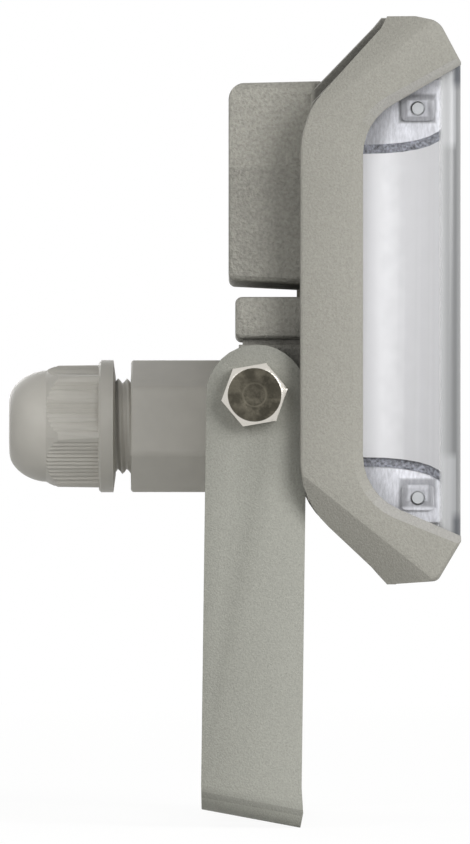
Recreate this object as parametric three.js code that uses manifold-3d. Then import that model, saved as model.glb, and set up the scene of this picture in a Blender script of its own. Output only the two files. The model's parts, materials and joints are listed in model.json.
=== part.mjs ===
// LED flood light on a U bracket: a die-cast rear housing with a driver box and a wiring block,
// a bezel with two side cheeks whose windows show the clear box lens, and a cable gland.
// Millimetres, +Z up, lamp front towards +X. Each shape is drawn about the bracket's pivot, and
// the whole is then lifted so that the origin is the centre of the bracket's foot.
import * as THREE from 'three';
import { mergeVertices } from 'three/addons/utils/BufferGeometryUtils.js';
import Module from 'manifold-3d';

const wasm = await Module();
wasm.setup();

// Driving dimensions, all in millimetres unless the name says degrees, count or share.
const overrun = 3; // how far a cutting shape runs past the surface it cuts
const seat = 0.3; // gap between a piece and the pocket or hole that it sits in

const bracket = {
  thickness: 3.5,
  legWidth: 22.4,
  pivotHeight: 94.5,
  pivotOffset: 0.45,
  cheekGap: 1.5,
  bendInsideRadius: 2,
  footSkewDegrees: 9.8,
  leanDegrees: 0.76,
  boltGap: 0.4,
  slotLength: 20,
  slotWidth: 7,
  slotOffset: 40,
};
const bolt = {
  shankRadius: 4,
  acrossFlats: 13,
  headHeight: 5.3,
  threadDepth: 12,
  turnDegrees: 10,
  chamfer: 0.9,
  dimpleRadius: 3,
  dimpleDepth: 0.35,
};
const washer = { radius: 10, thickness: 1, toothCount: 24, toothDepth: 0.5 };

// The head's outline in side view. A drop is measured down from its top edge and, mirrored, up
// from its bottom edge, and a reach is measured along X from the place that it names.
const frame = {
  width: 160,
  centreHeight: 21,
  halfHeight: 63.2,
  topVertexDrop: 10.3,
  bottomVertexDrop: 9.6,
  topCornerReach: 4.9,
  topCornerDrop: 1.1,
  topCornerRadius: 4.4,
  bottomCornerReach: 5.2,
  bottomCornerDrop: 0.8,
  bottomCornerRadius: 2,
  crownReach: 4.2,
  kinkDrop: 3.6,
  kinkLength: 2.9,
  lipDepth: 4.9,
  flareDegrees: 46,
};
const cheek = {
  thickness: 4,
  tubReach: 2.3,
  topCornerDrop: 22.6,
  topKinkReach: 1.4,
  topKinkDrop: 2.7,
  bottomCornerDrop: 18.8,
  bottomKinkDrop: 3.3,
  cornerRadius: 20,
  facetBackReach: 9.3,
  facetBackDrop: 17.4,
  facetFrontReach: 6.1,
  facetFrontDrop: 1,
  facetDegrees: 19,
  edge: 0.7,
};
const sideWindow = {
  topDrop: 23.5,
  bottomDrop: 20.2,
  frontDrop: 10.8,
  cornerRadius: 13,
  bevelWidth: 2.2,
  bevelDepth: 1.2,
};

const tub = {
  legGap: 1.2,
  wall: 3,
  topKinkDrop: 2.1,
  topKinkLength: 1.7,
  rimDepth: 8,
  rimHeight: 8.3,
  endWall: 4.7,
  sideGap: 0.3,
  shoulderWidth: 9.7,
  shoulderReach: 2.6,
  edge: 0.8,
};
const box = {
  depth: 18.2,
  inset: 2,
  slotGap: 2.6,
  floorDraft: 1.1,
  topDraft: 0.5,
  topDrop: 14.5,
  creaseDrop: 18.2,
  creaseStep: 0.6,
  topInset: 4,
  topRadius: 2.8,
  backRadius: 3.8,
  floorRadius: 1.6,
  wall: 3,
  roofWall: 6,
};
const block = {
  lipDepth: 16.7,
  depth: 15.9,
  grooveDepth: 0.9,
  top: 21.85,
  lipHeight: 9.35,
  groove: 1.3,
  grooveInset: 1.5,
  lowerInset: 0.5,
  lipRadius: 1.5,
  lowerRadius: 3,
  wall: 3,
  bottomWall: 2.7,
  bossGap: 1,
};

const lens = {
  depth: 21.8,
  wall: 2.5,
  frontWall: 2.8,
  flangeThickness: 2.5,
  edgeRadius: 3.2,
  innerRadius: 1.6,
  sideGap: 0.3,
};
const lensGasket = { thickness: 0.7, land: 4.3 };

const carrier = { thickness: 2, endGap: 3, holeEndInset: 6, holeInset: 3.5 };
const thermalPad = { thickness: 0.5, size: 34 };
const board = { thickness: 1.5, halfHeight: 19, halfWidth: 26, holeRadius: 2, holeInset: 4 };
const emitter = { size: 20, cornerRadius: 1, baseHeight: 1, discRadius: 8.5, discHeight: 0.6 };
const reflector = {
  sheet: 1,
  floorHalfHeight: 13,
  lensGap: 0.9,
  emitterGap: 0.8,
  endGap: 0.4,
  bendShare: 0.86,
};
const endPlate = {
  thickness: 1.5,
  carrierGap: 0.4,
  lensGap: 0.7,
  edgeGap: 1.1,
  padReach: 6,
  padInset: 5.9,
  padSink: 0.55,
  padLength: 7.4,
  padWidth: 5.6,
  padRise: 0.9,
  padRadius: 1.2,
};
const sidePanel = {
  thickness: 1.3,
  frontThickness: 0.4,
  backInset: 0.5,
  frontInset: 0.2,
  edgeInset: 15.5,
  riseHeight: 4,
  sink: 1.1,
  bendShare: 0.85,
};
const endScrew = {
  headRadius: 1.6,
  headHeight: 0.55,
  crownRadius: 1.28,
  crownHeight: 0.25,
  shankRadius: 1,
  length: 1.9,
};
const bezelScrew = {
  shankRadius: 1.25,
  headRadius: 2.25,
  headHeight: 2,
  headEdge: 0.3,
  length: 9,
  endInset: 18,
  edgeInset: 4.5,
  seatDepth: 2.1,
  pocketGap: 0.3,
  socketFlats: 2.08,
  socketDepth: 1.1,
};
const carrierScrew = {
  shankRadius: 1.5,
  headRadius: 2.8,
  headHeight: 1.6,
  headEdge: 0.3,
  length: 4.6,
};

const driver = { endRoom: 10, depth: 15.4, height: 31, leadRadius: 3, edge: 1 };
const terminal = {
  length: 30,
  height: 12,
  depth: 10,
  endGap: 2,
  wireRadius: 1.7,
  wireHeight: 4,
  wayCount: 3,
};

// The gland lies on its own axis, whose height is from the pivot.
const gland = {
  axisHeight: -7,
  hexAcrossFlats: 26.7,
  hexCornerRadius: 2,
  hexLength: 23.4,
  hexTurnDegrees: 85,
  hexEdge: 0.6,
  threadCrest: 10.95,
  threadDepth: 1.15,
  threadLength: 12.9,
  pitch: 2,
  crestOffset: 0.5,
  entryRadius: 9.9,
  entryLength: 9.2,
  bore: 6.3,
  sealSeatDepth: 9.6,
};
const seal = { insert: 5, length: 11.6, taperLength: 3.2, radius: 7.7, tipRadius: 6.6, bore: 5 };
const nut = {
  openGap: 3.5,
  coneLength: 0.5,
  flangeWidth: 3.3,
  flangeRadius: 15.1,
  flangeEdge: 0.5,
  hexLength: 9.2,
  hexConeLength: 2.8,
  hexAcrossCorners: 29.8,
  hexTurnDegrees: 10,
  domeLength: 8.45,
  domeRadius: 12.7,
  domePower: 1.8,
  faceRadius: 6.3,
  ribCount: 11,
  ribDepth: 0.35,
  ribMarginShare: 0.09,
  threadGap: 0.45,
  threadBoreLength: 13.2,
  sealGap: 0.7,
  throat: 6.2,
  faceWall: 5.9,
};
const glandGasket = { thickness: 1.2, radius: 13 };
const locknut = { thickness: 4, acrossFlats: 24 };

const arcSteps = 6;
const earSteps = 16;
const holeSteps = 12;
const screwSteps = 24;
const roundSteps = 32;
const domeSteps = 12;
const halfShare = 0.5;
const threadStepsAround = 28;
const threadStepsPerPitch = 4;

// Places across the lamp, along Y from its middle.
const degrees = THREE.MathUtils.degToRad;
const headHalf = frame.width / 2;
const cheekInnerY = headHalf - cheek.thickness;
const legOuterY = cheekInnerY - bracket.cheekGap;
const legInnerY = legOuterY - bracket.thickness;
const blockHalfWidth = legInnerY - washer.thickness;
const bossLength = bolt.threadDepth + block.wall;
const wiringHalfWidth = blockHalfWidth - bossLength - block.bossGap;
const boxHalfWidth = blockHalfWidth - box.inset;
const driverRoomHalfWidth = boxHalfWidth - box.topInset - 2 * box.wall;
const tubHalfWidth = cheekInnerY - tub.sideGap;
const cavityHalfWidth = tubHalfWidth - tub.endWall;
const lensHalfWidth = cheekInnerY - lens.sideGap;
const endPlateOuterY = cavityHalfWidth - seat;
const endPlateInnerY = endPlateOuterY - endPlate.thickness;
const padOuterY = endPlateOuterY + endPlate.padRise;
const carrierHalfWidth = cavityHalfWidth - carrier.endGap;

// Places along X from the pivot, from the bracket's leg forwards.
const legHalf = bracket.legWidth / 2;
const tubBackX = legHalf + tub.legGap;
const floorX = tubBackX + tub.wall;
const landX = floorX + tub.rimDepth;
const lensBackX = landX + lensGasket.thickness;
const flangeFrontX = lensBackX + lens.flangeThickness;
const barBackX = flangeFrontX + frame.kinkLength;
const partingX = flangeFrontX + frame.lipDepth;
const frontX = lensBackX + lens.depth;
const lensRoomX = frontX - lens.frontWall;
const cheekBackX = tubBackX - cheek.tubReach;
const carrierFrontX = floorX + carrier.thickness;
const boardBackX = carrierFrontX + thermalPad.thickness;
const boardFrontX = boardBackX + board.thickness;
const endPlateFrontX = lensRoomX - endPlate.lensGap;
const panelBackX = lensBackX + sidePanel.backInset;
const reflectorFrontX = lensRoomX - reflector.lensGap;
const screwSeatX = partingX - bezelScrew.seatDepth;

// Places behind the tub, and along the gland.
const boxBackX = tubBackX - box.depth;
const lipBackX = tubBackX - block.lipDepth;
const blockFaceX = tubBackX - block.depth;
const grooveBackX = blockFaceX + block.grooveDepth;
const wiringBackX = blockFaceX + block.wall;
const glandHexBackX = blockFaceX - glandGasket.thickness;
const glandHexFrontX = glandHexBackX - gland.hexLength;
const threadEndX = glandHexFrontX - gland.threadLength;
const entryEndX = glandHexBackX + gland.entryLength;
const sealSeatX = threadEndX + gland.sealSeatDepth;
const sealBackX = threadEndX + seal.insert;
const sealFrontX = sealBackX - seal.length;
const nutConeX = glandHexFrontX - nut.openGap;
const nutBackX = nutConeX - nut.coneLength;
const nutFlangeX = nutBackX - nut.flangeWidth;
const nutHexX = nutFlangeX - nut.hexLength;
const domeEndX = nutHexX - nut.hexConeLength;
const nutFaceX = domeEndX - nut.domeLength;
const nutBoreEndX = nutConeX - nut.threadBoreLength;
const sealSeatRadius = seal.radius + seat;
const nutBoreRadius = gland.threadCrest + nut.threadGap;
const sealRoomRadius = seal.radius + nut.sealGap;

// Half heights from the head's centre line.
const flareSlope = Math.tan(degrees(frame.flareDegrees));
const kinkHalfHeight = frame.halfHeight - frame.kinkDrop;
const tubBackHalfHeight = kinkHalfHeight - (flangeFrontX - tubBackX) * flareSlope;
const floorHalfHeight = tubBackHalfHeight + tub.wall * (flareSlope - Math.hypot(1, flareSlope));
const landHalfHeight = frame.halfHeight - tub.rimHeight;
const flangeHalfHeight = landHalfHeight - seat;
const lensHalfHeight = frame.halfHeight - frame.topVertexDrop;
const lensRoomHalfHeight = lensHalfHeight - lens.wall;
const cavityHalfHeight = lensRoomHalfHeight - seat;
const carrierHalfHeight = floorHalfHeight - seat;
const endPlateHalfHeight = lensRoomHalfHeight - endPlate.edgeGap;
const panelHalfHeight = endPlateHalfHeight - sidePanel.edgeInset;

// Heights from the pivot.
const boxTop = frame.centreHeight + frame.halfHeight - box.topDrop;
const boxFrontFloor = block.top + box.slotGap;
const boxBackFloor = boxFrontFloor + box.floorDraft;
const driverRoomFloor = boxBackFloor + box.wall;
const lipBottom = block.top - block.lipHeight;
const wiringFloor = gland.axisHeight - locknut.acrossFlats / 2 - seat;
const blockBottom = wiringFloor - block.bottomWall;

// Finishes, with the colours that the photo shows.
function finish(color, roughness, metalness) {
  return new THREE.MeshStandardMaterial({ color, roughness, metalness });
}
const castPaint = finish(0xa3a098, 0.75, 0.2);
const bracketPaint = finish(0xa0a098, 0.7, 0.2);
const grayNylon = finish(0x96938c, 0.5, 0);
const stainless = finish(0xc9c6c0, 0.3, 1);
const clearPlastic = new THREE.MeshStandardMaterial({
  color: 0xdfe3e8, roughness: 0.08, metalness: 0, transparent: true, opacity: 0.3,
});
const brightMetal = finish(0xd5d8dc, 0.18, 1);
const whiteSatin = finish(0xe6e6e8, 0.45, 0);
const softGray = finish(0x6f6f6c, 0.85, 0);
const blackRubber = finish(0x2a2a2a, 0.85, 0);
const rawAluminium = finish(0xb9bbbd, 0.4, 1);
const boardWhite = finish(0xf1f1ee, 0.5, 0);
const phosphor = finish(0xe3c54a, 0.5, 0);
const driverBlack = finish(0x33363a, 0.6, 0);
const terminalGray = finish(0xc8c9c6, 0.5, 0);
const zincSteel = finish(0xb4b6b8, 0.35, 1);

// Booleans work on closed meshes whose shared vertices are merged.
function solid(geometry) {
  const bare = geometry.index ? geometry.toNonIndexed() : geometry.clone();
  bare.deleteAttribute('normal');
  bare.deleteAttribute('uv');
  const merged = mergeVertices(bare);
  return new wasm.Manifold(new wasm.Mesh({
    numProp: 3,
    vertProperties: new Float32Array(merged.attributes.position.array),
    triVerts: new Uint32Array(merged.index.array),
  }));
}

function geometryOf(manifold) {
  const mesh = manifold.getMesh();
  const geometry = new THREE.BufferGeometry();
  geometry.setAttribute('position', new THREE.BufferAttribute(mesh.vertProperties, 3));
  geometry.setIndex(new THREE.BufferAttribute(mesh.triVerts, 1));
  geometry.computeVertexNormals();
  return geometry;
}

function joined(...solids) {
  return solids.reduce((whole, piece) => whole.add(piece));
}

function cut(body, ...tools) {
  return tools.reduce((whole, tool) => whole.subtract(tool), body);
}

// A block given by its lowest and highest corners.
function blockBetween(low, high) {
  const size = high.map((value, axis) => value - low[axis]);
  const geometry = new THREE.BoxGeometry(...size);
  return geometry.translate(...high.map((value, axis) => (value + low[axis]) / 2));
}

// An outline of corners, each [u, v] or [u, v, radius], with the given corners rounded by arcs.
function roundedOutline(corners) {
  const points = [];
  corners.forEach(([u, v, radius = 0], index) => {
    const corner = new THREE.Vector2(u, v);
    const [pu, pv] = corners.at(index - 1);
    const [nu, nv] = corners[(index + 1) % corners.length];
    const back = new THREE.Vector2(pu, pv).sub(corner).normalize();
    const ahead = new THREE.Vector2(nu, nv).sub(corner).normalize();
    const half = Math.acos(THREE.MathUtils.clamp(back.dot(ahead), -1, 1)) / 2;
    if (radius === 0) {
      points.push(corner);
      return;
    }
    const reach = radius / Math.tan(half);
    const start = corner.clone().addScaledVector(back, reach);
    const end = corner.clone().addScaledVector(ahead, reach);
    const middle = back.clone().add(ahead).normalize().multiplyScalar(radius / Math.sin(half)).add(corner);
    const from = start.sub(middle).angle();
    let turn = end.sub(middle).angle() - from;
    turn -= 2 * Math.PI * Math.round(turn / (2 * Math.PI));
    for (let step = 0; step <= arcSteps; step += 1) {
      const angle = from + (turn * step) / arcSteps;
      points.push(new THREE.Vector2(radius, 0).rotateAround(new THREE.Vector2(), angle).add(middle));
    }
  });
  return points;
}

function extruded(points, depth, edge = 0, holes = []) {
  const shape = new THREE.Shape(points);
  shape.holes = holes.map((hole) => new THREE.Path(hole));
  const geometry = new THREE.ExtrudeGeometry(shape, {
    depth: depth - 2 * edge,
    bevelEnabled: edge > 0,
    bevelThickness: edge,
    bevelSize: edge,
    bevelOffset: -edge,
    bevelSegments: 2,
    curveSegments: arcSteps,
  });
  return geometry.translate(0, 0, edge);
}

// An outline drawn in X and Z and pushed along Y from low to high.
function alongY(points, low, high, edge = 0, holes = []) {
  return extruded(points, high - low, edge, holes).rotateX(Math.PI / 2).translate(0, high, 0);
}

// Turns a shape drawn about +Z, with its outline in X and Y, to stand along +X with it in Y and Z.
const zToX = new THREE.Matrix4().makeBasis(
  new THREE.Vector3(0, 1, 0), new THREE.Vector3(0, 0, 1), new THREE.Vector3(1, 0, 0),
);
function alongX(points, low, high, edge = 0, holes = []) {
  return extruded(points, high - low, edge, holes).applyMatrix4(zToX).translate(low, 0, 0);
}

// A profile of [x, radius] pairs turned about the X axis.
function turnedAboutX(profile, steps = roundSteps) {
  const points = profile.map(([x, radius]) => new THREE.Vector2(radius, x));
  return new THREE.LatheGeometry(points, steps).applyMatrix4(new THREE.Matrix4().makeBasis(
    new THREE.Vector3(0, 1, 0), new THREE.Vector3(1, 0, 0), new THREE.Vector3(0, 0, -1),
  ));
}

function cylinderAlongX(radius, low, high, steps = roundSteps) {
  return turnedAboutX([[low, 0], [low, radius], [high, radius], [high, 0]], steps);
}

function ringAlongX(inner, outer, low, high, steps = roundSteps) {
  return turnedAboutX([[low, inner], [low, outer], [high, outer], [high, inner], [low, inner]], steps);
}

// A regular hexagon, first corner at the given angle, with its corners rounded.
function hexagon(acrossFlats, firstDegrees, cornerRadius = 0) {
  const radius = acrossFlats / Math.sqrt(3);
  const corners = Array.from({ length: 6 }, (_, index) => {
    const angle = degrees(firstDegrees + 60 * index);
    return [radius * Math.cos(angle), radius * Math.sin(angle), cornerRadius];
  });
  return roundedOutline(corners);
}

function circle(radius, centreU = 0, centreV = 0, steps = roundSteps) {
  return Array.from({ length: steps }, (_, index) => {
    const angle = (2 * Math.PI * index) / steps;
    return new THREE.Vector2(centreU + radius * Math.cos(angle), centreV + radius * Math.sin(angle));
  });
}

const parts = new Map();
function part(name, shape, material, x = 0, y = 0, z = 0) {
  const geometry = shape instanceof THREE.BufferGeometry ? shape : geometryOf(shape);
  const mesh = new THREE.Mesh(geometry, material);
  mesh.name = name;
  mesh.position.set(x, y, z);
  parts.set(name, mesh);
  return mesh;
}

// The bracket: a strip bent to a U about the skewed foot, cut to the legs' outline.
function bracketShape() {
  const skew = degrees(bracket.footSkewDegrees);
  const footAcross = new THREE.Vector2(Math.cos(skew), -Math.sin(skew));
  const footUp = new THREE.Vector2(Math.sin(skew), Math.cos(skew));
  const footCentre = new THREE.Vector2(bracket.pivotOffset, -bracket.pivotHeight);
  const outside = bracket.bendInsideRadius + bracket.thickness;
  const tall = bracket.pivotHeight + bracket.legWidth;
  const strip = roundedOutline([
    [-legOuterY, 0, outside], [legOuterY, 0, outside], [legOuterY, tall], [legInnerY, tall],
    [legInnerY, bracket.thickness, bracket.bendInsideRadius],
    [-legInnerY, bracket.thickness, bracket.bendInsideRadius], [-legInnerY, tall], [-legOuterY, tall],
  ]);
  const bent = alongX(strip, -tall, tall)
    .rotateY(skew).translate(footCentre.x, 0, footCentre.y);

  const footRight = footCentre.clone().addScaledVector(footAcross, legHalf);
  const footLeft = footCentre.clone().addScaledVector(footAcross, -legHalf);
  const footShoulder = footRight.clone().addScaledVector(footUp, bracket.thickness);
  const outline = [footLeft, footRight, footShoulder];
  outline.push(new THREE.Vector2(bracket.pivotOffset + legHalf, footShoulder.y + outside));
  for (let step = 0; step <= earSteps; step += 1) {
    const angle = (Math.PI * step) / earSteps;
    outline.push(new THREE.Vector2(
      bracket.pivotOffset + legHalf * Math.cos(angle), legHalf * Math.sin(angle),
    ));
  }
  outline.push(new THREE.Vector2(bracket.pivotOffset - legHalf, footLeft.y + outside));
  const silhouette = alongY(outline, -headHalf, headHalf);

  const pivotHole = alongY(circle(bolt.shankRadius + bracket.boltGap), -headHalf, headHalf);
  const slotHalf = (bracket.slotLength - bracket.slotWidth) / 2;
  const slots = [-bracket.slotOffset, bracket.slotOffset].map((middle) => {
    const slot = new THREE.Shape();
    slot.absarc(0, middle + slotHalf, bracket.slotWidth / 2, 0, Math.PI);
    slot.absarc(0, middle - slotHalf, bracket.slotWidth / 2, Math.PI, 2 * Math.PI);
    const depth = bracket.thickness + 2 * overrun;
    return solid(extruded(slot.getPoints(arcSteps), depth)
      .translate(0, 0, -overrun).rotateY(skew).translate(footCentre.x, 0, footCentre.y));
  });
  return cut(solid(bent).intersect(solid(silhouette)), solid(pivotHole), ...slots);
}

// A hexagon bolt along Y, drawn with its head towards -Y and its seat at the bracket's ear.
function boltShape() {
  const headRadius = bolt.acrossFlats / Math.sqrt(3);
  const seatY = -legOuterY;
  const topY = seatY - bolt.headHeight;
  const tipY = bolt.threadDepth - blockHalfWidth;
  const head = alongY(hexagon(bolt.acrossFlats, bolt.turnDegrees), topY, seatY);
  const flat = bolt.acrossFlats / 2;
  const dome = new THREE.LatheGeometry([
    [0, seatY + overrun], [headRadius + overrun, seatY + overrun],
    [headRadius + overrun, topY + bolt.chamfer], [headRadius, topY + bolt.chamfer],
    [flat - bolt.chamfer / 2, topY], [bolt.dimpleRadius, topY],
    [bolt.dimpleRadius / 2, topY + bolt.dimpleDepth], [0, topY + bolt.dimpleDepth],
  ].reverse().map(([radius, y]) => new THREE.Vector2(radius, y)), roundSteps);
  const shank = new THREE.CylinderGeometry(
    bolt.shankRadius, bolt.shankRadius, tipY - seatY, roundSteps,
  ).translate(0, (seatY + tipY) / 2, 0);
  return solid(head).intersect(solid(dome)).add(solid(shank));
}

// The toothed washer between an ear and the housing: its rim has radial teeth.
function washerShape() {
  const rim = Array.from({ length: 2 * washer.toothCount }, (_, index) => {
    const angle = (Math.PI * index) / washer.toothCount;
    const radius = washer.radius - (index % 2) * washer.toothDepth;
    return new THREE.Vector2(radius * Math.cos(angle), radius * Math.sin(angle));
  });
  const hole = circle(bolt.shankRadius + seat);
  return alongY(rim, -legInnerY, -blockHalfWidth, 0, [hole]);
}

// A closed outline from its upper half, which runs from the back to the front.
function mirrored(corners) {
  const below = corners.map(([x, z, radius]) => [x, -z, radius]);
  return [...below, ...corners.toReversed()];
}

// A cheek's outline: its top flare is a little steeper than the housing's, which shows behind it.
function cheekOutline() {
  const top = frame.halfHeight;
  return roundedOutline([
    [cheekBackX, cheek.bottomCornerDrop - top, cheek.cornerRadius],
    [flangeFrontX, cheek.bottomKinkDrop - top],
    [barBackX, -top],
    [frontX - frame.bottomCornerReach, frame.bottomCornerDrop - top, frame.bottomCornerRadius],
    [frontX, frame.bottomVertexDrop - top],
    [frontX, top - frame.topVertexDrop],
    [frontX - frame.topCornerReach, top - frame.topCornerDrop, frame.topCornerRadius],
    [partingX + frame.crownReach, top],
    [barBackX, top],
    [barBackX - cheek.topKinkReach, top - cheek.topKinkDrop],
    [cheekBackX, top - cheek.topCornerDrop, cheek.cornerRadius],
  ]);
}

function windowOutline() {
  const reachX = frontX + overrun;
  const along = (reachX - lensBackX) / (frontX - lensBackX);
  const corner = (drop) => {
    const back = frame.halfHeight - drop;
    return [back, back + (drop - sideWindow.frontDrop) * along];
  };
  const [topBack, topFront] = corner(sideWindow.topDrop);
  const [bottomBack, bottomFront] = corner(sideWindow.bottomDrop);
  return roundedOutline([
    [lensBackX, -bottomBack, sideWindow.cornerRadius], [reachX, -bottomFront],
    [reachX, topFront], [lensBackX, topBack, sideWindow.cornerRadius],
  ]);
}

// The facet that slopes a cheek's top or bottom corner inwards, as a block lying on that plane.
function facetCutter(upDown) {
  const backHeight = upDown * (frame.halfHeight - cheek.facetBackDrop);
  const frontHeight = upDown * (frame.halfHeight - cheek.facetFrontDrop);
  const start = new THREE.Vector3(cheekBackX + cheek.facetBackReach, -headHalf, backHeight);
  const end = new THREE.Vector3(frontX - cheek.facetFrontReach, -headHalf, frontHeight);
  const along = end.clone().sub(start).normalize();
  const outwards = new THREE.Vector3(0, -1, 0).cross(along).normalize().multiplyScalar(upDown);
  const slope = degrees(cheek.facetDegrees);
  const inwards = new THREE.Vector3(0, Math.sin(slope), 0);
  const inPlane = outwards.clone().multiplyScalar(Math.cos(slope)).add(inwards);
  const normal = along.clone().cross(inPlane).normalize();
  if (normal.y > 0) {
    normal.negate();
  }
  const size = frame.width;
  const geometry = new THREE.BoxGeometry(size, size, size).translate(0, size / 2, size / 2);
  const basis = new THREE.Matrix4().makeBasis(inPlane.clone().cross(normal), inPlane, normal);
  return geometry.applyMatrix4(basis.setPosition(start));
}

function bezelShape() {
  const cheeks = alongY(cheekOutline(), -headHalf, headHalf, cheek.edge);
  const behind = blockBetween(
    [cheekBackX - overrun, -cheekInnerY, -frame.width], [partingX, cheekInnerY, frame.width],
  );
  const lip = blockBetween(
    [flangeFrontX, -cheekInnerY, -flangeHalfHeight], [partingX, cheekInnerY, flangeHalfHeight],
  );
  const openHalf = lensHalfHeight + seat;
  const opening = blockBetween(
    [flangeFrontX - overrun, -cheekInnerY, -openHalf], [frontX + overrun, cheekInnerY, openHalf],
  );
  const outline = windowOutline();
  const scoop = new THREE.ExtrudeGeometry(new THREE.Shape(outline), {
    depth: cheek.thickness,
    bevelThickness: sideWindow.bevelDepth,
    bevelSize: sideWindow.bevelWidth,
    bevelSegments: 1,
  }).rotateX(Math.PI / 2).translate(0, -headHalf, 0);
  const through = alongY(outline, -headHalf, overrun - cheekInnerY);
  const windows = solid(scoop).add(solid(through));
  const screwBores = screwPlaces().map(([y, z]) => solid(cylinderAlongX(
    bezelScrew.shankRadius + seat, screwSeatX, screwSeatX + bezelScrew.length + seat, holeSteps,
  ).translate(0, y, z)));
  const nearFacets = [1, -1].map((upDown) => solid(facetCutter(upDown)));
  return cut(
    cut(solid(cheeks), solid(behind)).add(solid(lip)), solid(opening),
    windows, windows.mirror([0, 1, 0]),
    ...nearFacets, ...nearFacets.map((facet) => facet.mirror([0, 1, 0])), ...screwBores,
  );
}

function fourPlaces(y, z) {
  return [[-y, -z], [-y, z], [y, -z], [y, z]];
}

function screwPlaces() {
  return fourPlaces(cheekInnerY - bezelScrew.endInset, frame.halfHeight - bezelScrew.edgeInset);
}

// The driver box's end outline: straight up to a crease, then leaning inwards to the top.
function boxEndOutline() {
  const upper = boxHalfWidth - box.creaseStep;
  const crease = boxTop - box.creaseDrop;
  const half = [
    [boxHalfWidth, boxBackFloor, box.floorRadius], [boxHalfWidth, crease - box.creaseStep],
    [upper, crease], [upper - box.topInset, boxTop, box.topRadius],
  ];
  return roundedOutline([...half, ...half.toReversed().map(([y, z, radius]) => [-y, z, radius])]);
}

function boxSideOutline() {
  return roundedOutline([
    [boxBackX, boxBackFloor, box.floorRadius], [floorX, boxFrontFloor - seat],
    [floorX, boxTop + box.topDraft + seat], [boxBackX, boxTop, box.backRadius],
  ]);
}

// The box grows towards the front, as a casting's draft makes it: its floor sinks, its top rises.
function drafted(geometry) {
  const points = geometry.attributes.position;
  const middle = (boxTop + boxBackFloor) / 2;
  for (let index = 0; index < points.count; index += 1) {
    const forward = (points.getX(index) - boxBackX) / (floorX - boxBackX);
    const upward = (points.getZ(index) - middle) / (boxTop - middle);
    const draft = upward > 0 ? box.topDraft : box.floorDraft;
    points.setZ(index, points.getZ(index) + draft * upward * forward);
  }
  return geometry;
}

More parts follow.
